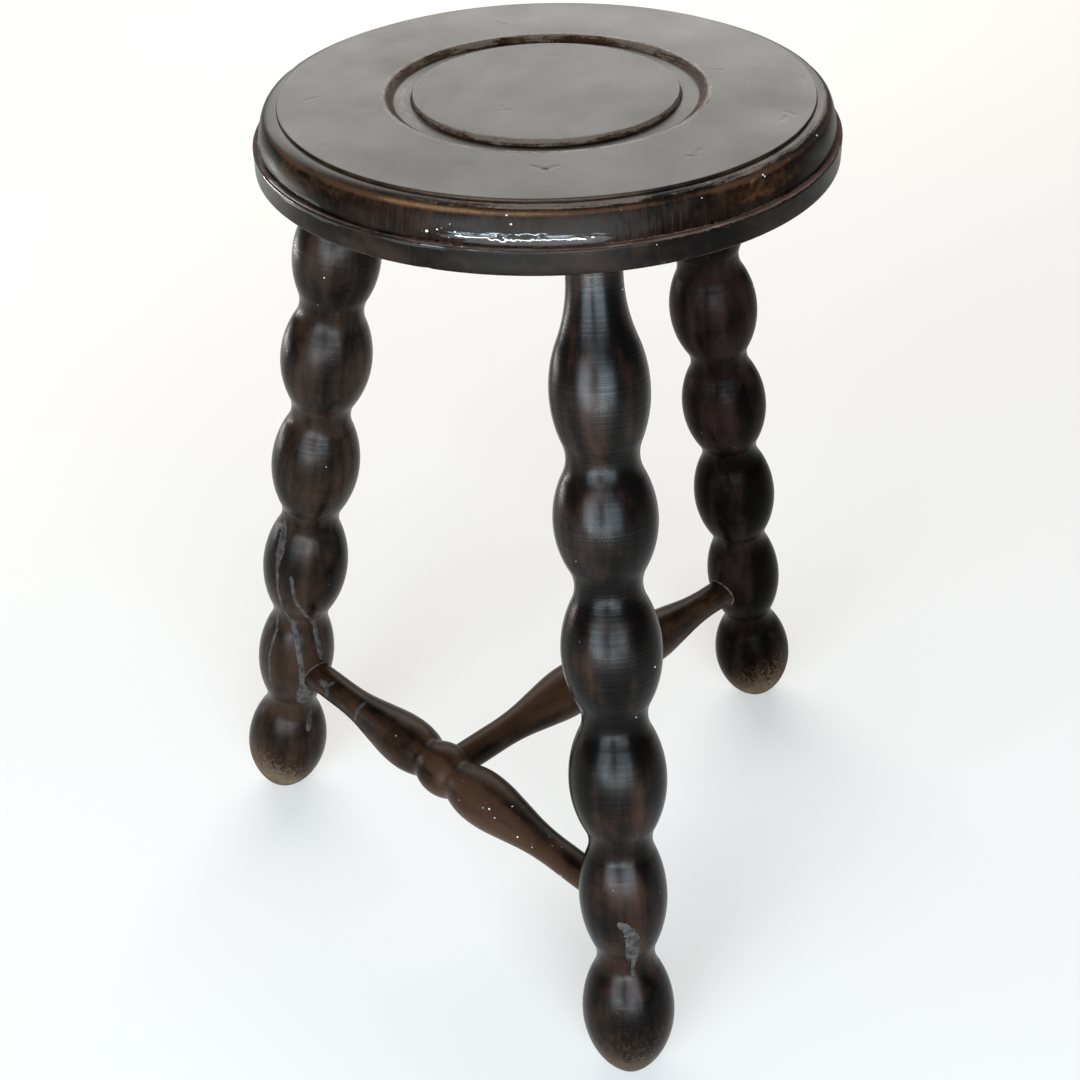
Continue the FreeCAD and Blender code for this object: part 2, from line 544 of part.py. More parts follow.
def rail_profile(sketch, half_length):
    """Half profile of a stretcher from its middle out: half the ball, its neck, the shoulder, a
    straight taper that coves into the thin end, and the end's chamfer."""
    ball = size("Sizes.ball_diameter / 2")
    neck = size("Sizes.ball_neck_diameter / 2")
    neck_at = size("Sizes.ball_neck_offset")
    cove = size("Sizes.ball_neck_radius")
    wide = size("Sizes.shoulder_diameter / 2")
    wide_at = size("Sizes.shoulder_offset")
    swell = size("Sizes.shoulder_radius")
    thin = size("Sizes.rail_end_diameter / 2")
    thin_at = size("Sizes.taper_offset")
    sweep = size("Sizes.taper_cove_radius")
    chamfer = size("Sizes.tenon_chamfer")
    stop = size(half_length)

    def tangent_radius(crown, reach):
        rise = crown - neck - cove
        return (reach * reach + rise * rise - cove * cove) / (2 * (crown - neck))

    ball_radius, inner_radius = tangent_radius(ball, neck_at), tangent_radius(wide, wide_at - neck_at)
    ball_centre, neck_centre = Vector(ball - ball_radius, 0, 0), Vector(neck + cove, neck_at, 0)
    inner_centre, outer_centre = Vector(wide - inner_radius, wide_at, 0), Vector(wide - swell, wide_at, 0)
    thin_centre = Vector(thin + sweep, thin_at, 0)
    ball_meet = ball_centre + (neck_centre - ball_centre).normalize() * ball_radius
    inner_meet = inner_centre + (neck_centre - inner_centre).normalize() * inner_radius
    # The straight taper touches both round stretches: an inner tangent of two circles.
    apart = thin_centre - outer_centre
    bearing = math.atan2(apart.y, apart.x) - math.acos((swell + sweep) / apart.Length)
    across = Vector(math.cos(bearing), math.sin(bearing), 0)
    taper_start, taper_end = outer_centre + across * swell, thin_centre - across * sweep

    axis = line(sketch, (0, 0), (0, stop))
    base = line(sketch, (0, 0), (ball, 0))
    crown = arc(sketch, tuple(ball_centre), (ball, 0), tuple(ball_meet))
    hollow = arc(sketch, tuple(neck_centre), tuple(inner_meet), tuple(ball_meet))
    inner = arc(sketch, tuple(inner_centre), tuple(inner_meet), (wide, wide_at))
    outer = arc(sketch, tuple(outer_centre), (wide, wide_at), tuple(taper_start))
    taper = line(sketch, tuple(taper_start), tuple(taper_end))
    run_out = arc(sketch, tuple(thin_centre), (thin, thin_at), tuple(taper_end))
    side = line(sketch, (thin, thin_at), (thin, stop - chamfer))
    corner = line(sketch, (thin, stop - chamfer), (thin - chamfer, stop))
    lid = line(sketch, (thin - chamfer, stop), (0, stop))
    chain(sketch, (ORIGIN, (axis, START)), (ORIGIN, (base, START)), ((base, END), (crown, START)))
    chain(sketch, ((side, END), (corner, START)), ((corner, END), (lid, START)), ((lid, END), (axis, END)))
    rule(sketch, "Tangent", crown, END, hollow, END)
    rule(sketch, "Tangent", hollow, START, inner, START)
    rule(sketch, "Tangent", inner, END, outer, START)
    rule(sketch, "Tangent", outer, END, taper, START)
    rule(sketch, "Tangent", taper, END, run_out, END)
    rule(sketch, "Tangent", run_out, START, side, START)
    for straight in (axis, side):
        rule(sketch, "Vertical", straight)
    for level in (base, lid):
        rule(sketch, "Horizontal", level)
    lowest = sketch.addGeometry(Part.Point(Vector(neck, neck_at, 0)), True)
    rule(sketch, "PointOnObject", crown, CENTRE, X_AXIS)
    rule(sketch, "PointOnObject", lowest, START, hollow)
    rule(sketch, "Horizontal", lowest, START, hollow, CENTRE)
    rule(sketch, "Horizontal", inner, CENTRE, inner, END)
    dimension(sketch, "Sizes.ball_diameter / 2", "DistanceX", base, START, base, END)
    dimension(sketch, "Sizes.ball_neck_diameter / 2", "DistanceX", *ORIGIN, lowest, START)
    dimension(sketch, "Sizes.ball_neck_offset", "DistanceY", *ORIGIN, lowest, START)
    dimension(sketch, "Sizes.ball_neck_radius", "Radius", hollow)
    dimension(sketch, "Sizes.shoulder_diameter / 2", "DistanceX", *ORIGIN, inner, END)
    dimension(sketch, "Sizes.shoulder_offset", "DistanceY", *ORIGIN, inner, END)
    dimension(sketch, "Sizes.shoulder_radius", "Radius", outer)
    dimension(sketch, "Sizes.rail_end_diameter / 2", "DistanceX", *ORIGIN, side, START)
    dimension(sketch, "Sizes.taper_offset", "DistanceY", *ORIGIN, side, START)
    dimension(sketch, "Sizes.taper_cove_radius", "Radius", run_out)
    dimension(sketch, half_length, "DistanceY", axis, START, axis, END)
    dimension(sketch, "Sizes.tenon_chamfer", "DistanceX", corner, END, corner, START)
    dimension(sketch, "Sizes.tenon_chamfer", "DistanceY", corner, START, corner, END)


def make_rail(name, placement, half_length):
    """One stretcher: half of it is turned, and the other half mirrors it."""
    body = new_body(name, placement)
    sketch = new_sketch(body, "half_profile", "XZ_Plane", place("0", "0", "0"))
    rail_profile(sketch, half_length)
    spin(body, sketch, "half")
    half = body.Tip
    mirror = body.newObject("PartDesign::Mirrored", "other_half")
    mirror.Originals = [half]
    middle = [item for item in body.Origin.OriginFeatures if item.Role == "XY_Plane"][0]
    mirror.MirrorPlane = (middle, [""])
    body.Tip = mirror
    doc.recompute()
    return body


boards = {"left": -1, "middle": 0, "right": 1}
pieces = [make_board(f"seat_board_{name}", side) for name, side in boards.items()]
pieces += [make_leg(name, *stand) for name, stand in LEGS.items()]

long_rail = make_rail(
    "long_stretcher",
    place(LONG_RAIL_X, "0", "Sizes.stretcher_height", turn("1; 0; 0", "-90")),
    f"{LONG_RAIL_HALF_SPAN} + {TENON_REACH}",
)
socket = place("Sizes.ball_diameter / 2 - Sizes.ball_socket_depth", "0", "0", turn("0; 1; 0", "90"))
socket_radius = "Sizes.rail_end_diameter / 2 + Sizes.glue_clearance"
bore(long_rail, "ball_socket", socket_radius, socket, "Sizes.ball_diameter")
pieces.append(long_rail)
short_middle = f"({SHORT_RAIL_START} + {SHORT_RAIL_STOP}) / 2"
pieces.append(
    make_rail(
        "short_stretcher",
        place(short_middle, "0", "Sizes.stretcher_height", turn("0; 1; 0", "90")),
        f"({SHORT_RAIL_STOP} - {SHORT_RAIL_START}) / 2",
    )
)

doc.recompute()
for item in doc.Objects:
    if "Invalid" in item.State or "Error" in item.State:
        raise RuntimeError(f"{item.Name} failed: {item.State}")
os.makedirs("parts", exist_ok=True)
for piece in pieces:
    shape = piece.Shape
    if shape.isNull() or not shape.isValid() or len(shape.Solids) != 1:
        raise RuntimeError(f"{piece.Label} isn't one valid solid")
    shape.exportStep(f"parts/{piece.Label}.step")
    print(piece.Label, round(shape.Volume / 1000, 1), "cm3")
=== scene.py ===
# %% [markdown]
# # A turned three-legged stool
# The stool was turned on a lathe, stained almost black and varnished, and then used for decades.
# The CAD model already holds its exact sizes, so this lesson loads it as a fixed frame and dresses
# it: every piece is made again with a finer skin, its wear and its finish.

# %% Load the frame
import math

import bmesh
import bpy
import numpy as np
from mathutils import Matrix, Vector
from mathutils.bvhtree import BVHTree
from mathutils.noise import fractal, noise


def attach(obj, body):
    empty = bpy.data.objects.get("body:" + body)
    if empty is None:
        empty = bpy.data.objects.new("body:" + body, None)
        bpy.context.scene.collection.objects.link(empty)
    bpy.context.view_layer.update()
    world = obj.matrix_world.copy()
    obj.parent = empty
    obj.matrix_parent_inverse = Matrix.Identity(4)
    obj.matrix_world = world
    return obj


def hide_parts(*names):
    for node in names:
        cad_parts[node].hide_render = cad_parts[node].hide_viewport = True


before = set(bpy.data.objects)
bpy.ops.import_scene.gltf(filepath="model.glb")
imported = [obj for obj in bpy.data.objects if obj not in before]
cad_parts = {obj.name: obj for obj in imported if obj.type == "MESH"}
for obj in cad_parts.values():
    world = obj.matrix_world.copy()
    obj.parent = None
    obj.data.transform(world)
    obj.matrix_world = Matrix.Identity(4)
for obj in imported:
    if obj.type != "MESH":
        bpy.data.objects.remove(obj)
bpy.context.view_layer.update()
scene = bpy.context.scene
scene.view_settings.view_transform = "Standard"
MM = 0.001
print("frame nodes:", sorted(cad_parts))

# %% [markdown]
# ## The camera
# The photograph looks down on the stool from a standing height with a short telephoto lens. Its
# place was found by laying the outline of the model over the outline in the photograph.

# %% Camera
camera_data = bpy.data.cameras.new("camera")
camera_data.sensor_width = 36.0
camera_data.lens = 56.46
camera = bpy.data.objects.new("camera", camera_data)
scene.collection.objects.link(camera)
camera.location = (-0.5317, -0.5664, 0.7678)
camera.rotation_euler = [math.radians(angle) for angle in (54.73, 1.32, -43.47)]
scene.camera = camera
bpy.context.view_layer.update()
print("camera at", [round(c, 3) for c in camera.location])

# %% [markdown]
# ## Node trees as arithmetic
# Shader and geometry trees are easier to read as formulas. `Wire` wraps one socket: arithmetic on
# it adds Math nodes, `node` adds any other node with its settings and inputs, `between` is a
# smooth step, and `into` feeds the value to a socket of a node.

# %% Wire
class Wire:
    def __init__(self, tree, socket=None):
        self.tree = tree
        self.socket = socket

    def into(self, node, name):
        self.tree.links.new(self.socket, node.inputs[name])

    def node(self, kind, settings=None, inputs=None, output=0):
        made = self.tree.nodes.new(kind)
        for name, value in (settings or {}).items():
            setattr(made, name, value)
        for name, value in (inputs or {}).items():
            if isinstance(value, Wire):
                value.into(made, name)
            else:
                made.inputs[name].default_value = value
        return Wire(self.tree, made.outputs[output])

    def math(self, operation, *values):
        return self.node("ShaderNodeMath", {"operation": operation}, dict(enumerate(values)))

    def __add__(self, other):
        return self.math("ADD", self, other)

    def __radd__(self, other):
        return self.math("ADD", other, self)

    def __sub__(self, other):
        return self.math("SUBTRACT", self, other)

    def __rsub__(self, other):
        return self.math("SUBTRACT", other, self)

    def __mul__(self, other):
        return self.math("MULTIPLY", self, other)

    def __rmul__(self, other):
        return self.math("MULTIPLY", other, self)

    def between(self, low, high):
        """0 below low, 1 above high, smooth between them."""
        return self.node(
            "ShaderNodeMapRange",
            {"interpolation_type": "SMOOTHSTEP"},
            {"Value": self, "From Min": low, "From Max": high},
        )


print("Wire ready")

# %% [markdown]
# ## Floor and light
# The stool stands on white paper. The paper shows the camera and the varnish a little more white
# than the lamps give it, and that extra white lights nothing else. Seven lamps stand round it. A
# wide soft box behind the stool is mirrored in the flat top as an even grey. Two tall boxes behind
# the camera, with a gap between them, draw the pair of cool highlights down each bobbin, and one
# above them lights the upper side of the moulding. Three thin, bright strips make the glints along
# the rim and on its left. The world fills the shadows.

# %% Floor
FLOOR_HALF = 6.0
FLOOR_COLOUR = (0.67, 0.635, 0.60, 1)
PAPER_WHITE, NO_LIGHT = (0.30, 0.29, 0.28, 1), (0, 0, 0, 1)


def link_mesh(name, vertices, faces):
    mesh = bpy.data.meshes.new(name)
    mesh.from_pydata([tuple(v) for v in vertices], [], [tuple(f) for f in faces])
    mesh.update()
    made = bpy.data.objects.new(name, mesh)
    scene.collection.objects.link(made)
    return made


def new_paint(name):
    """New material. Returns it with its shader and a wire to start formulas from."""
    paint = bpy.data.materials.new(name)
    paint.use_nodes = True
    return paint, paint.node_tree.nodes["Principled BSDF"], Wire(paint.node_tree)


def set_sockets(node, values):
    for name, value in values.items():
        node.inputs[name].default_value = value


def blend(start, factor, first, second):
    """Colour on the way from the first to the second."""
    inputs = {"Factor": factor, 6: first, 7: second}
    return start.node("ShaderNodeMix", {"data_type": "RGBA"}, inputs, output=2)


corners = [(-FLOOR_HALF, -FLOOR_HALF, 0.0), (FLOOR_HALF, -FLOOR_HALF, 0.0)]
corners += [(FLOOR_HALF, FLOOR_HALF, 0.0), (-FLOOR_HALF, FLOOR_HALF, 0.0)]
floor = link_mesh("floor", corners, [(0, 1, 2, 3)])
floor_paint, floor_shader, floor_start = new_paint("pale_floor")
set_sockets(floor_shader, {"Base Color": FLOOR_COLOUR, "Roughness": 0.9})
set_sockets(floor_shader, {"Specular IOR Level": 0.1, "Emission Strength": 1.0})
seen, mirrored, through = (
    floor_start.node("ShaderNodeLightPath", None, None, output=f"Is {ray} Ray")
    for ray in ("Camera", "Glossy", "Transmission")
)
white = blend(floor_start, seen + mirrored + through, NO_LIGHT, PAPER_WHITE)
white.into(floor_shader, "Emission Color")
floor.data.materials.append(floor_paint)
print("floor", 2 * FLOOR_HALF, "m across")

# %% Soft boxes
AIM = Vector((0.0, 0.0, 0.3))
COOL, NEUTRAL = (0.66, 0.85, 1.0), (1.0, 0.98, 0.94)
# Each lamp: bearing and elevation in degrees, distance, width, height, brightness and colour.
LAMPS = {
    "box_behind": (55, 31, 2.4, 3.2, 1.5, 3.4, NEUTRAL),
    "box_front_left": (195, 9, 2.6, 1.4, 1.3, 9.5, COOL),
    "box_front_right": (242, 9, 2.6, 1.6, 1.3, 11.5, COOL),
    "box_front_top": (218, 33, 2.6, 2.4, 0.8, 3.2, COOL),
    "strip_front": (214, 1, 2.6, 2.2, 0.06, 45.0, COOL),
    "strip_low": (217, -4.5, 1.3, 1.1, 0.03, 46.0, NEUTRAL),
    "strip_left": (107, -8.5, 1.3, 0.65, 0.05, 26.0, NEUTRAL),
}


def round_spot(radius, angle, height=0.0):
    """Point at a radius and an angle round the upright axis."""
    return Vector((radius * math.cos(angle), radius * math.sin(angle), height))


def soft_box(name, bearing, elevation, distance, width, height, brightness, colour):
    """Rectangular lamp that faces the stool from a bearing, set by how bright it looks."""
    data = bpy.data.lights.new(name, "AREA")
    data.shape = "RECTANGLE"
    data.size = width
    data.size_y = height
    data.energy = brightness * math.pi * width * height
    data.color = colour
    lamp = bpy.data.objects.new(name, data)
    scene.collection.objects.link(lamp)
    tilt = math.radians(elevation)
    away = round_spot(math.cos(tilt), math.radians(bearing), math.sin(tilt))
    lamp.location = AIM + away * distance
    lamp.rotation_euler = away.to_track_quat("Z", "Y").to_euler()
    lamp.visible_camera = False


for name, lamp in LAMPS.items():
    soft_box(name, *lamp)
world = bpy.data.worlds.new("studio")
scene.world = world
world.use_nodes = True
set_sockets(world.node_tree.nodes["Background"], {"Color": (0.94, 0.96, 1.0, 1), "Strength": 0.18})
print("soft boxes and strips:", len(LAMPS))

# %% [markdown]
# ## The finish
# Dark stain under old varnish. Each piece carries its own coordinates in an attribute called
# `grain`, with Z along the fibres, so one finish fits boards and turnings alike. More attributes
# say where it was used: `rub` thins the stain to warm brown, and `bare` takes it off down to raw,
# dirty wood. The seat has four more. Its dust attribute greys its edges with dust, and also carries
# painted highlight on the crest of the rim and painted sheen and reflection in the ring groove.
# `shine` is pooled varnish, `end` is open end grain, and `dull` is where the varnish is gone and a
# second, dry shader takes over. Its `lathe` coordinates run round the turning, for marks that are
# drawn along the rim.

# %% Colours and patterns of the wood
BLACK_STAIN = (0.0016, 0.0011, 0.0009, 1)
THIN_STAIN = (0.052, 0.021, 0.0085, 1)
BARE_WOOD = (0.16, 0.108, 0.066, 1)
DIRTY_WOOD = (0.07, 0.044, 0.027, 1)
WARM_WOOD = (0.15, 0.073, 0.030, 1)
# Grey of dust, which on the seat also serves as painted highlight and painted sheen.
DUST_AND_SHEEN_WOOD = (0.18, 0.125, 0.097, 1)
LEDGE_WOOD = (0.17, 0.093, 0.068, 1)
GRIMY_WOOD = (0.07, 0.037, 0.027, 1)
# Cycles per metre of each pattern along its three coordinates.
FIGURE, PORES, PATCHES = (90.0, 90.0, 5.0), (900.0, 900.0, 45.0), (16.0, 16.0, 7.0)
FLECKS, DUST, MOTTLE = (420.0, 420.0, 160.0), (1500.0, 1500.0, 1300.0), (60.0, 60.0, 45.0)
GRIT, SMUDGE = (520.0, 520.0, 480.0), (30.0, 30.0, 30.0)
DRAWN, FIBRES = (70.0, 900.0, 900.0), (800.0, 70.0, 70.0)
RINGS_PER_METRE = 1000.0


def reading(start, name, output):
    """Attribute of the piece: output 1 is a vector, and output 2 a number."""
    return start.node("ShaderNodeAttribute", {"attribute_name": name}, None, output)


def streaks(start, coordinates, cycles, detail=3.0, roughness=0.55):
    """Noise with its own number of cycles per metre along each coordinate."""
    inputs = {0: coordinates, 1: cycles}
    vector = start.node("ShaderNodeVectorMath", {"operation": "MULTIPLY"}, inputs)
    inputs = {"Vector": vector, "Scale": 1.0, "Detail": detail, "Roughness": roughness}
    return start.node("ShaderNodeTexNoise", None, inputs)


print("stain from", BLACK_STAIN[:3], "to", THIN_STAIN[:3])

# %% Stained wood
TINT, SEAT_TINT = (1.0, 0.86, 0.76, 1), (1.0, 0.93, 0.86, 1)
SEAT_COAT_ROUGHNESS, DRY_MIRROR = 0.05, 0.03
RELIEF = {"Distance": 0.0003, "Strength": 0.35}


def stained_wood(name, brown, share, gloss, mirror, varnish=0.0, rings=0.0, rim=False):
    """Finish of one kind of piece.

    It takes the brown of the stain and how much of it shows, the roughness, the mirror, and for a
    turned stick its varnish and tool rings. The seat, with its rim, has its own marks instead.
    """
    material, shader, start = new_paint(name)
    grain = reading(start, "grain", 1)
    ground = start.node("ShaderNodeTexCoord", None, None, output=3) if rim else grain
    rub, bare = reading(start, "rub", 2), reading(start, "bare", 2)
    figure = streaks(start, grain, FIGURE, detail=4.0)
    pores = streaks(start, grain, PORES, detail=2.0)
    patches = streaks(start, ground, PATCHES, detail=2.0)
    flecks = streaks(start, grain, FLECKS, detail=4.0, roughness=0.7)
    dust = streaks(start, grain, DUST, detail=2.0)
    mottle = streaks(start, grain, MOTTLE, detail=4.0, roughness=0.6)
    grit = streaks(start, grain, GRIT, detail=4.0, roughness=0.75)

    cloud = 0.5 if rim else 0.75
    depth = figure * 0.8 + patches * 0.8 + mottle * cloud - 0.8 - cloud / 2 + share
    stain = blend(start, depth.between(0.0, 0.45), BLACK_STAIN, brown)
    thin = (rub * 1.25 + (flecks - 0.5) * 1.1 + (figure - 0.5) * 0.7 - 0.35).between(0.05, 0.75)
    thinned = blend(start, thin * 0.85, stain, THIN_STAIN)
    warm = (rub + (flecks - 0.5) * 1.2 - 1.1).between(0.0, 0.7)
    thinned = blend(start, warm * (pores * 1.5 + 0.1), thinned, WARM_WOOD)
    raw = (bare * 1.5 + (grit - 0.5) * 1.8 + (figure - 0.5) * 0.4 - 0.6).between(0.0, 0.6)
    pale, grimy = (LEDGE_WOOD, GRIMY_WOOD) if rim else (BARE_WOOD, DIRTY_WOOD)
    dirt = blend(start, (figure * 0.6 + grit * 0.4).between(0.35, 0.62), pale, grimy)
    colour = blend(start, raw, thinned, dirt)

    haze = (patches - 0.5) * 0.2 + (pores - 0.5) * (0.03 if rim else 0.10) + (dust - 0.5) * 0.10
    rough = gloss + haze + thin * 0.12 + warm * 0.35 + raw * 0.5
    height = pores * (0.1 if rim else 0.35) + flecks * 0.25 * raw
    if rim:
        lathe = reading(start, "lathe", 1)
        dusty, shine = reading(start, "dusty", 2), reading(start, "shine", 2)
        end, dull = reading(start, "end", 2), reading(start, "dull", 2)
        smudge = streaks(start, ground, SMUDGE, detail=5.0, roughness=0.62)
        drawn = streaks(start, lathe, DRAWN, detail=4.0, roughness=0.65)
        fibres = streaks(start, lathe, FIBRES, detail=3.0, roughness=0.6)
        coat = (shine * 1.1 + (drawn - 0.5) * 1.7 - 0.5).between(0.0, 0.25)
        # Greying of the rim: real dust, with painted highlight on the crest and painted sheen and
        # reflection in the groove.
        dust_and_sheen_mask = dusty * 1.3 + (drawn - 0.5) * 2.4 + (grit - 0.5) * 1.2 - 0.65
        open_end = (end * 0.9 + (fibres - 0.5) * 2.2 - 0.55).between(0.0, 0.5)
        colour = blend(start, dust_and_sheen_mask.between(0.0, 0.6) * 0.85, colour, DUST_AND_SHEEN_WOOD)
        colour = blend(start, open_end * 0.22, colour, THIN_STAIN)
        rough = rough + (smudge - 0.5) * 0.16 + open_end * 0.12
        drag = (drawn - 0.5) * shine.math("MINIMUM", shine, 1.0) * 0.45
        height = height + (fibres - 0.5) * end * 0.9 + drag
    else:
        axis = start.node("ShaderNodeSeparateXYZ", None, {0: grain}, output=2)
        marks = start.node(
            "ShaderNodeTexNoise",
            {"noise_dimensions": "1D"},
            {"W": axis * RINGS_PER_METRE, "Scale": 1.0, "Detail": 3.0, "Roughness": 0.65},
        )
        height = height + marks * rings
        film = varnish + (marks - 0.5) * 0.45 + (figure - 0.5) * 0.5 + (patches - 0.5) * 0.4
        coat = (film * (axis * 1.2 + 0.55) * (1.0 - raw)).between(0.0, 1.0)

    bump = start.node("ShaderNodeBump", None, {"Height": height, **RELIEF})
    layers = {"Base Color": colour, "Roughness": rough, "Coat Weight": coat, "Normal": bump}
    for socket, wire in layers.items():
        wire.into(shader, socket)
    coat_roughness = SEAT_COAT_ROUGHNESS if rim else gloss
    set_sockets(shader, {"Specular IOR Level": mirror, "Coat Roughness": coat_roughness})
    set_sockets(shader, {"Specular Tint": SEAT_TINT if rim else TINT})
    if rim:
        dry_values = {"Coat Roughness": coat_roughness, "Specular IOR Level": DRY_MIRROR}
        dry = start.node("ShaderNodeBsdfPrincipled", None, {**layers, **dry_values})
        glossy = Wire(start.tree, shader.outputs["BSDF"])
        mixed = start.node("ShaderNodeMixShader", None, {0: dull, 1: glossy, 2: dry})
        mixed.into(start.tree.nodes["Material Output"], "Surface")
    return material


print("stained wood ready")

# %% Finishes of the pieces
# Each finish: the brown, its share, the roughness, the mirror, the varnish and the tool rings.
LEG_STAINS = {
    # The right leg, at the back, has the darkest brown and shows least of it: partly painted shade.
    "right": ((0.016, 0.0078, 0.0060, 1), 0.15, 0.28, 0.02, 0.05, 0.5),
    "front": ((0.027, 0.0105, 0.0055, 1), 0.08, 0.26, 0.05, 0.32, 0.6),
    "left": ((0.025, 0.0125, 0.0075, 1), 0.26, 0.27, 0.05, 0.27, 0.5),
}
RAIL_STAIN = ((0.041, 0.0185, 0.0095, 1), 0.26, 0.34, 0.08, 0.2, 0.4)
SEAT_STAIN = ((0.016, 0.008, 0.0046, 1), 0.12, 0.35, 0.24)
leg_finishes = {
    side: stained_wood(f"stain_on_{side}_leg", *stain) for side, stain in LEG_STAINS.items()
}
rail_finish = stained_wood("stain_on_stretchers", *RAIL_STAIN)
seat_finish = stained_wood("stain_on_seat", *SEAT_STAIN, rim=True)
print("finishes:", [m.name for m in leg_finishes.values()], rail_finish.name, seat_finish.name)

# %% [markdown]
# ## The turned profiles
# A turner works in arcs: a round belly, then a cove, then the next belly, with no corner between
# them. A profile here is a list of such arcs along the piece's length, worked out from the sizes of
# the CAD model, and its radius can be read at any height.

# %% Profiles of arcs
SEAT_HEIGHT, SEAT_THICKNESS, SEAT_RADIUS = 480.0, 29.0, 140.0
UNDERSIDE = SEAT_HEIGHT - SEAT_THICKNESS
SPLAY = math.radians(11.0)
HALF_OPENING = 57.5
SIDE_BEARING = 180.0 - HALF_OPENING
LEG_LENGTH = UNDERSIDE / math.cos(SPLAY)
SEAT_LEG_RADIUS = SEAT_RADIUS - 39.2
FOOT_RADIUS = SEAT_LEG_RADIUS + UNDERSIDE * math.tan(SPLAY)
NECK_COVE, VASE_COVE, BELOW_FLOOR = 20.0, 80.0, 3.0
FOOT_LENGTH, VASE_LENGTH, STEM_LENGTH, TENON_LENGTH = 74.5, 101.0, 18.0, 20.0
FOOT_NECK, MIDDLE_NECK, TOP_NECK, TENON_RADIUS = 15.5, 16.6, 17.4, 13.0
LOW_BELLY, BELLY, VASE_BELLY = 23.1, 25.0, 23.4
PITCH = (LEG_LENGTH - VASE_LENGTH - FOOT_LENGTH) / 4


def bead(start, length, low, high, belly, low_cove, high_cove):
    """Arcs (end, centre along, centre out, radius, side) of one swelling between two necks."""
    a, b = belly - low, belly - high
    k, m = a * a - 2 * a * low_cove, b * b - 2 * b * high_cove
    if abs(a - b) < 1e-9:
        middle = (length * length + m - k) / (2 * length)
    else:
        half = a * length
        under_root = half * half - (b - a) * (b * k - a * (length * length + m))
        middle = (math.sqrt(under_root) - half) / (b - a)
    radius = (middle * middle + k) / (2 * a)
    first = middle * low_cove / (radius + low_cove)
    last = length - (length - middle) * high_cove / (radius + high_cove)
    return [
        (start + first, start, low + low_cove, low_cove, -1),
        (start + last, start + middle, belly - radius, radius, 1),
        (start + length, start + length, high + high_cove, high_cove, -1),
    ]


def foot_arcs():
    """Arcs of the egg foot. It starts a little below the floor, where it is cut level."""
    belly, wide, tip = 37.0, 24.8, 6.0
    run, drop = wide - tip, belly + BELOW_FLOOR
    lower = (run * run + drop * drop) / (2 * run)
    a, reach = wide - FOOT_NECK, FOOT_LENGTH - belly
    upper = (reach * reach + a * a - 2 * a * NECK_COVE) / (2 * a)
    meet = FOOT_LENGTH - reach * NECK_COVE / (upper + NECK_COVE)
    return [
        (belly, belly, wide - lower, lower, 1),
        (meet, belly, wide - upper, upper, 1),
        (FOOT_LENGTH, FOOT_LENGTH, FOOT_NECK + NECK_COVE, NECK_COVE, -1),
    ]


def radius_along(arcs, along):
    """Radius of a profile at each place along it. Past the last arc it stays as it ended."""
    radius = np.zeros_like(along)
    done = np.zeros(len(along), bool)
    for end, centre, out, size, side in arcs:
        here = ~done & (along <= end + 1e-9)
        radius[here] = out + side * np.sqrt(np.maximum(size**2 - (along[here] - centre) ** 2, 0))
        done |= here
    end, centre, out, size, side = arcs[-1]
    radius[~done] = out + side * math.sqrt(max(size**2 - (end - centre) ** 2, 0))
    return radius


def leg_arcs(upper_lifts):
    """Arcs of a whole leg, from the foot up. The places of its three upper necks are its own."""
    arcs = foot_arcs()
    lifts = (0.0, 0.0, *upper_lifts)
    for number in range(4):
        low = FOOT_NECK if number == 0 else MIDDLE_NECK
        high = TOP_NECK if number == 3 else MIDDLE_NECK
        belly = LOW_BELLY if number == 0 else BELLY
        start = FOOT_LENGTH + number * PITCH + lifts[number]
        length = PITCH + lifts[number + 1] - lifts[number]
        arcs += bead(start, length, low, high, belly, NECK_COVE, NECK_COVE)
    start, length = LEG_LENGTH - VASE_LENGTH + lifts[-1], VASE_LENGTH - STEM_LENGTH - lifts[-1]
    return arcs + bead(start, length, TOP_NECK, TENON_RADIUS, VASE_BELLY, NECK_COVE, VASE_COVE)


print("leg length", round(LEG_LENGTH, 1), "mm, bobbin pitch", round(PITCH, 1), "mm")

# %% Profile of a stretcher
RAIL_HEIGHT, RAIL_END, RAIL_TAPER = 103.0, 9.0, 92.0
BALL, SHOULDER = 15.6, 15.7


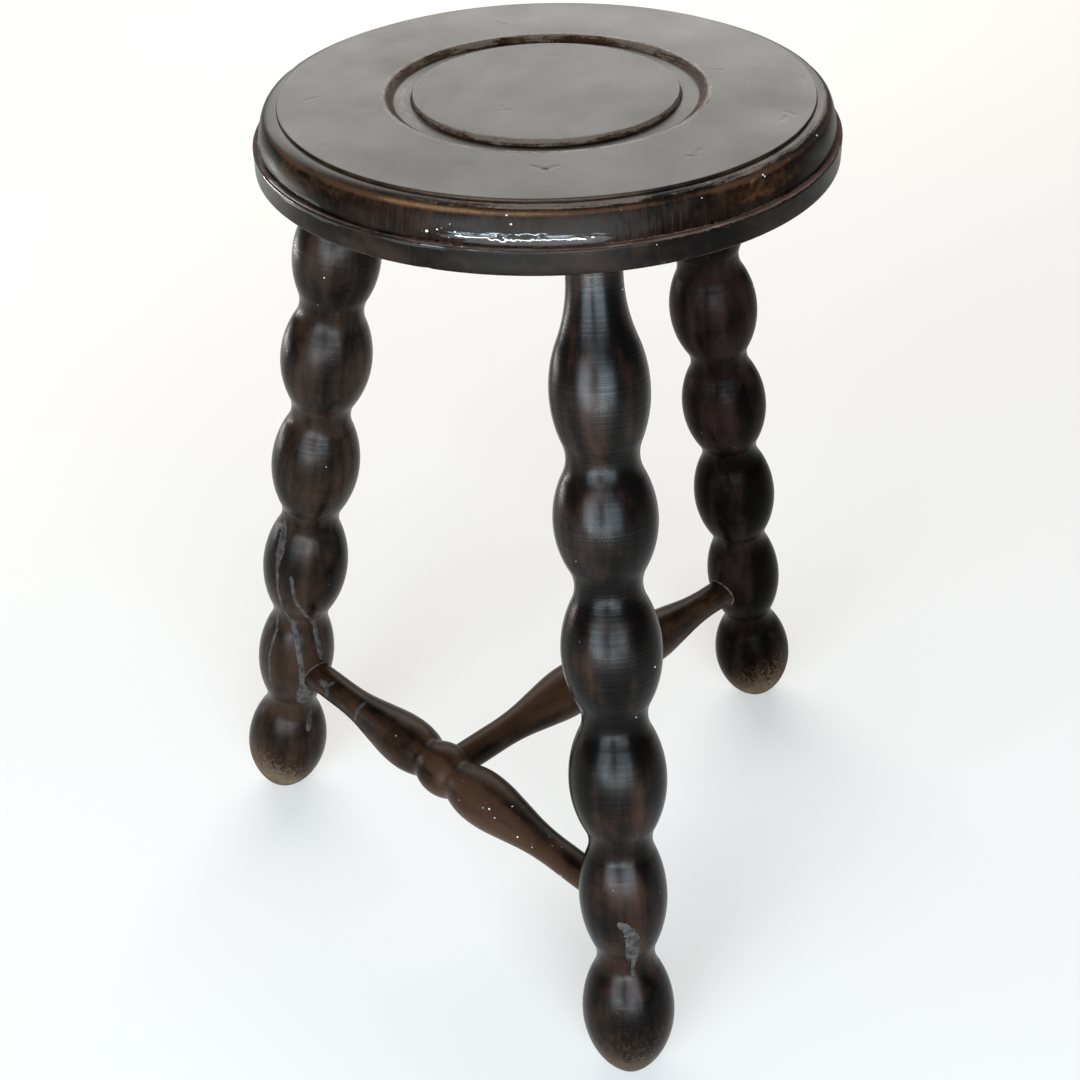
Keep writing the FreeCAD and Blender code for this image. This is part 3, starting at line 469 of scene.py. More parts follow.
def rail_radius(along):
    """Radius of a stretcher at a distance from its own middle: ball, neck, shoulder and taper."""
    neck, neck_at, cove = 12.5, 13.5, 6.0
    wide_at, swell, sweep = 32.0, 95.0, 150.0

    def tangent(crown, reach):
        a = crown - neck
        return (reach * reach + a * a - 2 * a * cove) / (2 * a)

    ball_size, inner = tangent(BALL, neck_at), tangent(SHOULDER, wide_at - neck_at)
    # The straight taper touches the shoulder's outer arc and the cove before the thin end.
    apart_out = (RAIL_END + sweep) - (SHOULDER - swell)
    apart_along = RAIL_TAPER - wide_at
    apart = math.hypot(apart_out, apart_along)
    bearing = math.atan2(apart_along, apart_out) - math.acos((swell + sweep) / apart)
    leave = wide_at + swell * math.sin(bearing)
    arrive = RAIL_TAPER - sweep * math.sin(bearing)
    arcs = [
        (neck_at * ball_size / (ball_size + cove), 0.0, BALL - ball_size, ball_size, 1),
        (neck_at + (wide_at - neck_at) * cove / (inner + cove), neck_at, neck + cove, cove, -1),
        (wide_at, wide_at, SHOULDER - inner, inner, 1),
        (leave, wide_at, SHOULDER - swell, swell, 1),
    ]
    distance = np.abs(along)
    radius = radius_along(arcs, np.minimum(distance, leave))
    start = SHOULDER - swell + swell * math.cos(bearing)
    straight = (distance > leave) & (distance <= arrive)
    radius[straight] = start - (distance[straight] - leave) * math.tan(bearing)
    hollow = (distance > arrive) & (distance <= RAIL_TAPER)
    radius[hollow] = RAIL_END + sweep - np.sqrt(sweep**2 - (RAIL_TAPER - distance[hollow]) ** 2)
    radius[distance > RAIL_TAPER] = RAIL_END
    return radius


along = np.array([0.0, 13.5, 32.0, 53.0, 78.0, 100.0])
print("stretcher radii", rail_radius(along).round(1).tolist(), "at", along.tolist())

# %% [markdown]
# ## Turning as a geometry tree
# The lathe is a rule, so it becomes a Geometry Nodes tree. Its input is a bare line of points with
# a radius on each. A circle is swept along the line and scaled by that radius, and then the skin
# moves a little along its normal: slow waves for a hand that wasn't quite steady, and fine rings
# that the tool left behind.

# %% Turning tree
def new_tree(name, sizes):
    """Geometry tree with named inputs. Returns the tree, its input wires and their identifiers."""
    tree = bpy.data.node_groups.new(name, "GeometryNodeTree")
    face = tree.interface
    face.new_socket("Geometry", in_out="INPUT", socket_type="NodeSocketGeometry")
    made = {}
    for label, kind in sizes.items():
        made[label] = face.new_socket(label, in_out="INPUT", socket_type=kind)
    face.new_socket("Geometry", in_out="OUTPUT", socket_type="NodeSocketGeometry")
    group_input = tree.nodes.new("NodeGroupInput")
    wires = {socket.name: Wire(tree, socket) for socket in group_input.outputs if socket.name}
    return tree, wires, {label: socket.identifier for label, socket in made.items()}


def close_tree(tree, geometry, material):
    """Ends a tree with Realize Instances and Set Material."""
    real = geometry.node("GeometryNodeRealizeInstances", None, {"Geometry": geometry})
    painted = real.node("GeometryNodeSetMaterial", None, {"Geometry": real, "Material": material})
    group_output = tree.nodes.new("NodeGroupOutput")
    tree.links.new(painted.socket, group_output.inputs[0])


FLOAT, WHOLE, PAINT = "NodeSocketFloat", "NodeSocketInt", "NodeSocketMaterial"
WAVE_CYCLES, RING_CYCLES = 26.0, 260.0
sizes = {"Sides": WHOLE, "Wobble": FLOAT, "Ring depth": FLOAT, "Seed": FLOAT, "Material": PAINT}
turning, wires, turning_inputs = new_tree("turning", sizes)
line = wires["Geometry"]
curve = line.node("GeometryNodeMeshToCurve", None, {"Mesh": line})
radius = line.node("GeometryNodeInputNamedAttribute", {"data_type": "FLOAT"}, {"Name": "radius"})
inputs = {"Resolution": wires["Sides"], "Radius": 1.0}
circle = line.node("GeometryNodeCurvePrimitiveCircle", None, inputs)
inputs = {"Curve": curve, "Profile Curve": circle, "Scale": radius, "Fill Caps": True}
skin = line.node("GeometryNodeCurveToMesh", None, inputs)
place = line.node("GeometryNodeInputPosition")
normal = line.node("GeometryNodeInputNormal")
height = line.node("ShaderNodeSeparateXYZ", None, {0: place}, output=2)
waves = line.node(
    "ShaderNodeTexNoise",
    {"noise_dimensions": "4D"},
    {"Vector": place, "W": wires["Seed"], "Scale": WAVE_CYCLES, "Detail": 2.0},
)
rings = line.node(
    "ShaderNodeTexNoise",
    {"noise_dimensions": "1D"},
    {"W": height * RING_CYCLES + wires["Seed"] * 7.3, "Scale": 1.0, "Detail": 2.0},
)
lift = (waves - 0.8) * wires["Wobble"] * 2.0 + (rings - 0.8) * wires["Ring depth"] * 2.0
offset = line.node("ShaderNodeVectorMath", {"operation": "SCALE"}, {0: normal, "Scale": lift})
moved = line.node("GeometryNodeSetPosition", None, {"Geometry": skin, "Offset": offset})
smooth = line.node("GeometryNodeSetShadeSmooth", None, {"Geometry": moved})
close_tree(turning, smooth, wires["Material"])
print("turning tree:", len(turning.nodes), "nodes")


# %% Running a tree
def plain_mesh(thing):
    """Mesh of an object with its modifiers worked in."""
    evaluated = thing.evaluated_get(bpy.context.evaluated_depsgraph_get())
    return bpy.data.meshes.new_from_object(evaluated)


def run_tree(name, mesh, tree, identifiers, values):
    """Runs a tree on a mesh and returns the result as a plain mesh object with no modifier."""
    source = bpy.data.objects.new(name + "_source", mesh)
    scene.collection.objects.link(source)
    modifier = source.modifiers.new("tree", "NODES")
    modifier.node_group = tree
    for label, value in values.items():
        modifier[identifiers[label]] = value
    result = plain_mesh(source)
    bpy.data.objects.remove(source)
    result.name = name
    made = bpy.data.objects.new(name, result)
    scene.collection.objects.link(made)
    return made


def set_value(mesh, name, values):
    layer = mesh.attributes.get(name) or mesh.attributes.new(name, "FLOAT", "POINT")
    layer.data.foreach_set("value", np.asarray(values, np.float32))


def turn(name, along, radii, sides, wobble, ring_depth, seed, material):
    """One turned piece with its length on its own Z, from radii in millimetres."""
    points = [(0.0, 0.0, z * MM) for z in along]
    mesh = bpy.data.meshes.new(name + "_line")
    mesh.from_pydata(points, [(i, i + 1) for i in range(len(points) - 1)], [])
    set_value(mesh, "radius", radii * MM)
    values = {"Sides": sides, "Wobble": wobble * MM, "Ring depth": ring_depth * MM}
    values.update({"Seed": seed, "Material": material})
    return run_tree(name, mesh, turning, turning_inputs, values)


print("turned pieces take:", list(turning_inputs))

# %% [markdown]
# ## Joints
# The stool is held by round tenons glued into bored holes. The bores are cut with a Boolean, so
# that a thin dark line shows round each stretcher where it enters its leg.

# %% Bores
GLUE_GAP, END_GAP = 0.15, 0.8
DRILL_SIDES = 64


def bore(target, start, direction, length, size):
    """Cuts a round hole into a mesh object. Sizes are in millimetres."""
    sides = DRILL_SIDES
    turn_to = Vector(direction).normalized().to_track_quat("Z", "Y").to_matrix()
    ends = []
    for height in (0.0, length):
        for step in range(sides):
            spot = turn_to @ round_spot(size, 2 * math.pi * step / sides, height)
            ends.append((Vector(start) + spot) * MM)
    faces = [(i, (i + 1) % sides, sides + (i + 1) % sides, sides + i) for i in range(sides)]
    faces += [tuple(range(sides))[::-1], tuple(range(sides, 2 * sides))]
    drill = link_mesh("drill", ends, faces)
    cut = target.modifiers.new("bore", "BOOLEAN")
    cut.operation = "DIFFERENCE"
    cut.solver = "EXACT"
    cut.object = drill
    result = plain_mesh(target)
    target.modifiers.clear()
    old = target.data
    target.data = result
    bpy.data.meshes.remove(old)
    bpy.data.objects.remove(drill)


print("gap round a tenon", GLUE_GAP, "mm, at its end", END_GAP, "mm")


# %% Values on the skin
def positions(mesh):
    found = np.zeros(len(mesh.vertices) * 3, np.float32)
    mesh.vertices.foreach_get("co", found)
    return found.reshape(-1, 3).astype(float)


def set_positions(mesh, spots):
    mesh.vertices.foreach_set("co", spots.astype(np.float32).ravel())
    mesh.update()


def set_vector(mesh, name, coordinates):
    layer = mesh.attributes.get(name) or mesh.attributes.new(name, "FLOAT_VECTOR", "POINT")
    layer.data.foreach_set("vector", np.asarray(coordinates, np.float32).ravel())


def bell(distance, width):
    """1 at no distance, falling off over a width."""
    return np.exp(-((distance / width) ** 2))


def settle(piece, material, node, crease=50.0):
    """Hands a finished piece over: one material, smooth faces and its body, with its CAD node
    hidden.
    """
    piece.data.materials.clear()
    piece.data.materials.append(material)
    piece.data.shade_smooth()
    piece.data.set_sharp_from_angle(angle=math.radians(crease))
    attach(piece, "root")
    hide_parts(node)
    print(piece.name, len(piece.data.polygons), "faces")


print("a bell of width 1 at a distance of 1:", round(float(bell(1.0, 1.0)), 3))

# %% [markdown]
# ## Legs
# Three turnings of one pattern, each a little different, as hand turning leaves them. Each is
# turned upright by the tree, bored for its stretcher, worn at the foot, and then leaned into place
# under the seat, where it is pressed level at the floor.

# %% Legs
# Each leg: its bearing, the turn of its mortise from that, and the lifts of its three upper necks.
TOE = 90.0 - HALF_OPENING
LEGS = {
    "right": (0.0, 0.0, (1.8, 1.0, -2.2)),
    "front": (-SIDE_BEARING, TOE, (1.8, 3.0, -2.4)),
    "left": (SIDE_BEARING, -TOE, (4.1, 5.5, 2.0)),
}
# Wear of each foot: its strength, the bearing that it faces, and how far up it reaches.
FOOT_WEAR = {
    "right": (0.72, 275.0, 80.0),
    "front": (0.55, 20.0, 62.0),
    "left": (0.8, 45.0, 74.0),
}
LEG_STEPS, LEG_SIDES, LEG_WOBBLE, LEG_RINGS, LEG_SEED = 484, 96, 0.16, 0.008, 3.7
PAST_AXIS, BORE_LENGTH = 4.0, 48.8
FOOT_EDGE = 1.2 * MM
leg_pieces = {}
for seed, (side, (bearing, toe, lifts)) in enumerate(LEGS.items(), start=1):
    angle = math.radians(bearing)
    stance = Matrix.Rotation(angle, 4, "Z") @ Matrix.Rotation(-SPLAY, 4, "Y")
    leg_place = Matrix.Translation(round_spot(FOOT_RADIUS, angle) * MM) @ stance
    along = np.linspace(-BELOW_FLOOR, LEG_LENGTH + TENON_LENGTH, LEG_STEPS)
    radii = radius_along(leg_arcs(lifts), along)
    look = (LEG_SIDES, LEG_WOBBLE, LEG_RINGS, seed * LEG_SEED, leg_finishes[side])
    leg = turn(f"turned_leg_{side}", along, radii, *look)
    rail_at = Vector((0.0, 0.0, RAIL_HEIGHT / math.cos(SPLAY)))
    toed = Matrix.Rotation(math.radians(toe), 3, "Z")
    inward = Matrix.Rotation(SPLAY, 3, "Y") @ toed @ Vector((-1, 0, 0))
    bore(leg, rail_at - inward * PAST_AXIS, inward, BORE_LENGTH, RAIL_END + GLUE_GAP)
    spots = positions(leg.data)
    set_vector(leg.data, "grain", spots)
    share, facing, reach = FOOT_WEAR[side]
    around = np.arctan2(spots[:, 1], spots[:, 0]) - math.radians(facing)
    reach_here = reach * MM * (0.68 + 0.32 * np.cos(around))
    low = np.clip(1.3 * (1.0 - spots[:, 2] / reach_here), 0, 1)
    set_value(leg.data, "bare", low * share)
    bulge = np.hypot(spots[:, 0], spots[:, 1]) / (BELLY * MM)
    set_value(leg.data, "rub", np.clip((bulge - 0.9) * 2.0, 0, 0.25) + 0.5 * low)
    leg.data.transform(leg_place)
    # The foot is pressed level at the floor, with a soft edge.
    spots = positions(leg.data)
    spots[:, 2] = 0.5 * (spots[:, 2] + np.sqrt(spots[:, 2] ** 2 + FOOT_EDGE**2))
    set_positions(leg.data, spots)
    settle(leg, leg_finishes[side], f"leg_{side}")
    leg_pieces[side] = leg

# %% [markdown]
# ## Stretchers
# The long one joins the left and front legs, and the short one runs from its ball to the right
# leg. Both have the same turning about their own middle.

# %% Stretchers
RAIL_RADIUS = FOOT_RADIUS - RAIL_HEIGHT * math.tan(SPLAY)
RAIL_X = -RAIL_RADIUS * math.cos(math.radians(HALF_OPENING))
RAIL_PAST, SOCKET_DEPTH = PAST_AXIS - END_GAP, 12.0
LONG_HALF = RAIL_RADIUS * math.sin(math.radians(HALF_OPENING)) + RAIL_PAST
SHORT_START = RAIL_X + BALL - SOCKET_DEPTH + END_GAP
SHORT_STOP = RAIL_RADIUS + RAIL_PAST
SHORT_HALF = (SHORT_STOP - SHORT_START) / 2
RAIL_STEP, RAIL_SIDES, RAIL_WOBBLE, RAIL_RINGS = 0.9, 72, 0.14, 0.03
QUARTER = math.radians(90)
long_middle = Vector((RAIL_X, 0, RAIL_HEIGHT)) * MM
long_place = Matrix.Translation(long_middle) @ Matrix.Rotation(-QUARTER, 4, "X")
short_middle = Vector(((SHORT_START + SHORT_STOP) / 2, 0, RAIL_HEIGHT)) * MM
short_place = Matrix.Translation(short_middle) @ Matrix.Rotation(QUARTER, 4, "Y")
# Each stretcher: half its length, its place and its seed.
RAILS = {"long": (LONG_HALF, long_place, 21.0), "short": (SHORT_HALF, short_place, 33.0)}
rail_pieces = {}
for name, (half, place, seed) in RAILS.items():
    along = np.linspace(-half, half, int(2 * half / RAIL_STEP))
    look = (RAIL_SIDES, RAIL_WOBBLE, RAIL_RINGS, seed, rail_finish)
    rail = turn(f"turned_{name}_stretcher", along, rail_radius(along), *look)
    if name == "long":
        bore(rail, (BALL - SOCKET_DEPTH, 0, 0), (1, 0, 0), 2 * BALL, RAIL_END + GLUE_GAP)
    spots = positions(rail.data)
    set_vector(rail.data, "grain", spots)
    set_value(rail.data, "bare", np.zeros(len(spots)))
    swell = np.hypot(spots[:, 0], spots[:, 1]) / (SHOULDER * MM)
    set_value(rail.data, "rub", np.clip((swell - 0.75) * 1.4, 0, 0.35))
    rail.data.transform(place)
    settle(rail, rail_finish, f"{name}_stretcher")
    rail_pieces[name] = rail

# %% [markdown]
# ## The seat
# Three boards were glued edge to edge and turned as one round, so the seat is made as one lathe
# skin and then sawn apart along the two joints. The profile runs from the middle of the top out
# over the ring groove, the moulded rim and the band, and back under to the middle.

# %% Seat profile
FLAT_EDGE, THUMB_START, THUMB_END = 127.0, 128.6, 137.0
BAND, QUIRK_FLOOR, THUMB_TOP = 12.0, 27.6, 6.5
RING_INNER, RING_OUTER, RING_DEPTH, RING_SLOPE = 63.2, 76.3, 3.0, 4.2
SOFT_EDGE, SOFT_BAND = 0.5, 1.2


def sweep_arc(centre, radius, first, last, count):
    angles = np.radians(np.linspace(first, last, count))
    return [(centre[0] + radius * math.cos(a), centre[1] + radius * math.sin(a)) for a in angles]


def seat_profile():
    """Points (radius, height over the underside) from the middle of the top to that below it."""
    top, soft = SEAT_THICKNESS, SOFT_EDGE
    points = [(r, top) for r in np.linspace(1.5, RING_INNER - 2.0, 52)]
    points += sweep_arc((RING_INNER - soft, top - soft), soft, 90, 18, 5)
    points += [(RING_INNER + 0.6, top - 1.7), (RING_INNER + 0.9, top - RING_DEPTH + 0.25)]
    foot = RING_OUTER - RING_SLOPE
    points += [(r, top - RING_DEPTH) for r in np.linspace(RING_INNER + 1.2, foot - 0.1, 7)]
    for step in np.linspace(0.04, 0.93, 8):
        rise = top - RING_DEPTH * (1 - step) + 0.5 * step * (1 - step)
        points.append((foot + RING_SLOPE * step, rise))
    points += [(RING_OUTER, top - 0.06), (RING_OUTER + 0.35, top)]
    points += [(r, top) for r in np.linspace(RING_OUTER + 1.8, FLAT_EDGE - 1.6, 54)]
    points += sweep_arc((FLAT_EDGE - soft, top - soft), soft, 90, 0, 5)
    points += [(FLAT_EDGE + 0.02, QUIRK_FLOOR + 0.3), (FLAT_EDGE + 0.25, QUIRK_FLOOR)]
    points += [(THUMB_START, QUIRK_FLOOR)]
    run, drop = THUMB_END - THUMB_START, QUIRK_FLOOR - BAND
    large = (run**2 + drop**2 - 2 * drop * THUMB_TOP) / (2 * (run - THUMB_TOP))
    small_centre, large_centre = (THUMB_START, QUIRK_FLOOR - THUMB_TOP), (THUMB_END - large, BAND)
    apart = (small_centre[0] - large_centre[0], small_centre[1] - large_centre[1])
    lean = math.degrees(math.atan2(apart[1], apart[0]))
    points += sweep_arc(small_centre, THUMB_TOP, 90, lean, 10)[1:]
    points += sweep_arc(large_centre, large, lean, 0, 14)[1:]
    points += [(THUMB_END + 0.3, BAND), (THUMB_END + 1.0, BAND)]
    points += sweep_arc((SEAT_RADIUS - SOFT_BAND, BAND - SOFT_BAND), SOFT_BAND, 90, 0, 6)
    points += [(SEAT_RADIUS, h) for h in np.linspace(BAND - 2.2, 2.2, 9)]
    points += sweep_arc((SEAT_RADIUS - SOFT_BAND, SOFT_BAND), SOFT_BAND, 0, -90, 6)
    points += [(r, 0.0) for r in np.linspace(SEAT_RADIUS - 3, 2.0, 40)]
    return np.array(points)


profile = seat_profile()
print("seat profile:", len(profile), "points")

# %% [markdown]
# ## Wear in the shape of the seat
# Decades of use left soft bruises and short nicks in the top, chips along the rim, and a rim that
# is a little ragged where it cuts across the fibres. They are real dents, moved into the skin
# before it is sawn, so that they catch the light from any side.

# %% Dents of the seat
GRAIN = math.radians(41.5)
# Soft bruises in the top: distance from the middle, bearing, width and depth.
BRUISES = [
    (96.0, 205.0, 4.0, 0.12), (44.0, 40.0, 4.0, 0.1), (88.0, 150.0, 5.0, 0.15),
    (104.0, 95.0, 4.0, 0.15),
]
# Nicks in the top: distance, bearing, direction, length and depth.
NICKS = [
    (94.2, 224.4, 281.0, 7.0, 0.22), (94.4, 227.9, 351.0, 6.0, 0.22),
    (96.5, 226.0, 330.0, 3.0, 0.16), (31.0, 187.0, 250.0, 5.0, 0.16),
    (33.0, 192.0, 310.0, 4.0, 0.16), (105.8, 263.2, 324.0, 5.0, 0.22),
    (103.6, 266.0, 24.0, 5.0, 0.22), (116.0, 294.0, 20.0, 5.0, 0.22),
    (117.0, 297.5, 85.0, 6.0, 0.2), (122.0, 319.0, 50.0, 4.0, 0.2), (98.0, 60.0, 100.0, 6.0, 0.2),
    (110.0, 140.0, 170.0, 7.0, 0.16), (52.0, 110.0, 20.0, 5.0, 0.14),
    (118.0, 170.0, 240.0, 4.0, 0.14), (84.0, 330.0, 300.0, 6.0, 0.14),
]
NICK_WIDTH = 0.9
# Chips along the rim: bearing, height over the underside, half width in degrees and depth.
CHIPS = [
    (249.0, 14.0, 0.5, 0.4), (257.0, 12.0, 0.7, 0.6), (264.0, 14.5, 0.5, 0.7),
    (212.0, 25.0, 1.2, 0.3), (226.0, 26.5, 1.6, 0.3), (276.0, 12.0, 0.7, 0.5),
    (252.0, 1.0, 1.0, 0.9), (190.0, 13.0, 0.9, 0.4), (150.0, 12.5, 1.2, 0.5),
    (118.0, 26.0, 1.6, 0.5), (80.0, 12.0, 1.4, 0.6), (40.0, 1.0, 1.8, 0.9),
    (10.0, 14.0, 1.5, 0.5), (330.0, 25.0, 1.8, 0.4), (302.0, 11.5, 0.8, 0.5),
    (205.0, 0.8, 1.0, 0.5),
]


def round_readings(spots):
    """Distance from the middle, bearing in degrees and height of each spot."""
    bearing = np.degrees(np.arctan2(spots[:, 1], spots[:, 0])) % 360.0
    return np.hypot(spots[:, 0], spots[:, 1]), bearing, spots[:, 2].copy()


def turn_gap(bearing, target):
    return (bearing - target + 180.0) % 360.0 - 180.0


def wear_seat(spots):
    """Moves the seat's skin, in millimetres with heights over the underside, for its age."""
    out, bearing, height = round_readings(spots)
    upper = height > 24.0
    waves = np.array([fractal(Vector(p) * 0.028, 1.0, 2.0, 2) for p in spots])
    spots[:, 2] += np.where(upper & (out < 127.5), (waves - 1.0) * 0.08, 0.0)
    for distance, turn_at, width, depth in BRUISES:
        a = math.radians(turn_at)
        aside = (spots[:, 1] - distance * math.sin(a)) * 1.3
        gap = np.hypot(spots[:, 0] - distance * math.cos(a), aside)
        spots[:, 2] -= np.where(upper, depth * bell(gap, width), 0.0)
    for distance, turn_at, direction, length, depth in NICKS:
        a, d = math.radians(turn_at), math.radians(direction)
        dx, dy = spots[:, 0] - distance * math.cos(a), spots[:, 1] - distance * math.sin(a)
        past = np.maximum(np.abs(dx * math.cos(d) + dy * math.sin(d)) - length / 2, 0)
        gap = np.hypot(past, dy * math.cos(d) - dx * math.sin(d))
        spots[:, 2] -= np.where(upper, depth * bell(gap, NICK_WIDTH), 0.0)
    inward = np.zeros(len(spots))
    for turn_at, level, half, depth in CHIPS:
        gap = turn_gap(bearing, turn_at) / half
        inward += depth * bell(gap, 1.0) * bell(height - level, 1.6)
    ragged = [noise(Vector((b * 1.9, h * 0.28, 3.0))) for b, h in zip(bearing, height)]
    end_grain = np.clip(np.abs(np.cos(np.radians(bearing) - GRAIN)) * 2 - 1, 0, 1)
    rim = (out > 128.5) & (height < 27.4)
    inward += np.where(rim, 0.12 * np.array(ragged) * end_grain, 0.0)
    inward = np.where(out > 126.0, np.clip(inward + 0.08, 0.0, 2.0), 0.0)
    spots[:, :2] *= (1.0 - inward / np.maximum(out, 1.0))[:, None]
    return spots


print("dents:", len(BRUISES), "bruises,", len(NICKS), "nicks,", len(CHIPS), "chips")

# %% Lathe skin of the seat
AROUND = 720


def seat_skin():
    """Worn skin of the whole round, in millimetres, and its faces."""
    steps = np.arange(AROUND) * 2 * math.pi / AROUND
    spots = [(0.0, 0.0, SEAT_THICKNESS)]
    for r, h in profile:
        spots += [(r * math.cos(a), r * math.sin(a), h) for a in steps]
    spots.append((0.0, 0.0, 0.0))
    faces = [(0, 1 + i, 1 + (i + 1) % AROUND) for i in range(AROUND)]
    for ring in range(len(profile) - 1):
        base = 1 + ring * AROUND
        for i in range(AROUND):
            j = (i + 1) % AROUND
            faces.append((base + i, base + AROUND + i, base + AROUND + j, base + j))
    base, last = 1 + (len(profile) - 1) * AROUND, len(spots) - 1
    faces += [(last, base + (i + 1) % AROUND, base + i) for i in range(AROUND)]
    return wear_seat(np.array(spots)), faces


skin_spots, skin_faces = seat_skin()
skin_spots[:, 2] += UNDERSIDE
skin = link_mesh("seat_round", skin_spots * MM, skin_faces)
print("seat skin:", len(skin_faces), "faces")

# %% [markdown]
# ## Marks of use on the seat
# The finish has to know where hands, cloths and time have been. Each mark is made of soft bells,
# ramps and spans over three readings of a spot: its distance from the middle, its bearing and its
# height over the underside. A slow noise called drift breaks up their edges, as use does.

# %% Soft shapes
def ramp(value, start, run):
    """0 at the start and 1 past the run, straight between. A negative run rises downwards."""
    return np.clip((value - start) / run, 0, 1)


def span(bearing, first, first_soft, last, last_soft):
    """1 from the first bearing to the last, with soft ends."""
    rise, fall = (bearing - first) / first_soft, (bearing - last) / last_soft
    return 0.5 * (np.tanh(rise) - np.tanh(fall))


def near(bearing, target, width):
    return bell(turn_gap(bearing, target), width)


print("a ramp halfway:", float(ramp(5.0, 0.0, 10.0)))


# %% Marks
def seat_marks(spots):
    """Values for the finish at each spot, and its place round, up and out on the lathe."""
    out, bearing, height = round_readings(spots)
    places = [Vector((b * 0.05, h * 0.09, 1.0)) for b, h in zip(bearing, height)]
    drift = np.array([fractal(place, 1.0, 2.0, 3) for place in places])
    upper, rim, band = ramp(height, 24.0, 3.0), ramp(out, 127.6, 2.0), ramp(out, 138.0, 1.5)
    inner_wall = ramp(out, 62.9, 0.3) * ramp(out, 64.6, -0.3) * upper
    outer_wall = ramp(out, 71.9, 0.4) * ramp(out, 76.5, -0.3) * upper
    right = span(bearing, 226.0, 8.0, 322.0, 10.0)

    # Stain thinned by hands and cloths
    golden = 0.4 + 0.6 * ramp(bearing, 232.0, -12.0) * ramp(bearing, 186.0, 14.0)
    crown = rim * bell(height - 25.3, 0.8) * 1.7 * golden
    sides = np.clip(near(bearing, 184.0, 22.0) + near(bearing, 272.0, 22.0), 0, 1)
    handled = 0.16 * near(bearing, 266.0, 28.0) + 0.2 * near(bearing, 168.0, 20.0)
    swell = rim * ramp(height, 13.0, 4.0) * (0.10 + 0.18 * sides + handled)
    flat_edge = bell(out - FLAT_EDGE, 0.8) * upper * 0.5
    band_edge = (bell(height - 11.6, 0.9) + bell(height - 0.6, 0.9)) * band * 0.4
    rub = (crown + swell + flat_edge + band_edge) * (1.0 + 0.75 * drift)
    rub = np.clip(rub + (inner_wall + 0.95 * outer_wall) * (1.0 + 0.3 * drift), 0, 2)

    # Bare wood along the edges
    ledge_line = bell(height - BAND, 0.8) * bell(out - 138.6, 0.9)
    ring_edge = (bell(out - 62.9, 0.6) + bell(out - 77.4, 1.5)) * upper
    spot = near(bearing, 267.0, 0.8) * bell(height - 24.0, 1.4)
    scuffs = bell(height - 1.5, 2.2) * near(bearing, 248.0, 12.0) * band
    foot_line = bell(height - 12.3, 0.6) * (out > 136.5)
    foot_line += 0.35 * bell(height - 11.2, 0.5) * (out > 139.0)
    bare = ledge_line * (0.6 + 0.3 * right + 0.3 * drift) + ring_edge * (0.5 + 0.4 * drift)
    bare += foot_line * (0.55 + 0.25 * right + 0.4 * drift)
    bare = np.clip(bare + 0.8 * spot + scuffs * 0.45, 0, 1)

    # Dust on the crest, on the ledge and in the ring groove, with a painted highlight on the crest,
    # painted sheen on the back of the groove and a painted reflection on its floor at the left
    # The crest is greyed more from the front round to the right: real dust, and there a painted
    # highlight along the crest.
    crest_dust_and_highlight = 0.38 + 0.62 * span(bearing, 210.0, 10.0, 330.0, 10.0)
    crest = ramp(out, 127.2, 0.3) * ramp(height, 26.2, 0.6) * (height < 27.8)
    # At the back, the groove's outer wall is painted lighter: painted sheen.
    painted_sheen_behind = near(bearing, 47.0, 60.0)
    dusty = crest * crest_dust_and_highlight * (0.75 + 0.5 * drift) + ledge_line * right * (0.75 + 0.4 * drift)
    dusty += (0.6 * inner_wall + (0.5 + 0.45 * painted_sheen_behind) * outer_wall) * (1.0 + 0.7 * drift)
    # The groove floor is painted lighter at the left: painted reflection.
    groove_floor_reflection = bell(out - 68.5, 3.0) * upper * (height < 26.3)
    dusty += 1.1 * groove_floor_reflection * near(bearing, 150.0, 45.0)
    dusty = np.clip(dusty + ring_edge * (1.0 + 0.4 * drift), 0, 1)

    # Varnish that pooled on the belly of the rim, on the ledge and in the corner between them
    belly = bell(height - 15.5, 2.6) * ramp(out, 134.5, 2.0)
    ledge = bell(height - 11.2, 1.9) * ramp(out, 137.2, 1.0)
    pools = 0.35 + near(bearing, 176.0, 12.0) + near(bearing, 202.0, 5.0)
    corner = bell(height - 14.2, 0.9) * span(bearing, 214.5, 2.0, 236.0, 1.5)
    corner += bell(height - 13.2, 1.3) * span(bearing, 164.0, 2.0, 180.0, 2.0)
    shine = near(bearing, 221.0, 17.0) * belly + ledge * pools + 2.0 * corner * (out > 136.0)

    # Flanks and groove walls whose varnish is gone
    flanks = span(bearing, 148.0, 6.0, 212.0, 8.0) + span(bearing, 240.0, 8.0, 310.0, 10.0)
    face = np.clip(flanks + 0.5 * near(bearing, 225.0, 20.0), 0, 1)
    dull = face * rim * ramp(height, 25.6, -1.5) * np.clip(0.92 + 0.6 * drift, 0, 1)
    dull *= np.where(height < 11.8, 0.75, 1.0)
    dull = np.clip(dull + 0.85 * (inner_wall + outer_wall) + 0.55 * crest * crest_dust_and_highlight, 0, 1)

    # Open end grain, where the rim cuts across the fibres
    end = np.clip(np.abs(np.cos(np.radians(bearing) - GRAIN)) * 2.2 - 1.2, 0, 1) * rim
    end *= np.where(height > 12.4, 1.0, 0.45)
    lathe = np.stack([np.radians(bearing) * SEAT_RADIUS, height, out], 1)
    marks = {"rub": rub, "bare": bare, "dusty": dusty, "shine": np.clip(shine, 0, 2)}
    return {**marks, "end": end, "dull": dull}, lathe


print("seat marks ready")

# %% [markdown]
# ## Sawing the seat into its boards
# Each board is a copy of the round, cut along the glue joints beside it and closed again. Then the
# slanted mortises are bored into the board that holds each leg, and the marks go onto its skin. A
# shift of the grain coordinates gives each board a figure of its own.

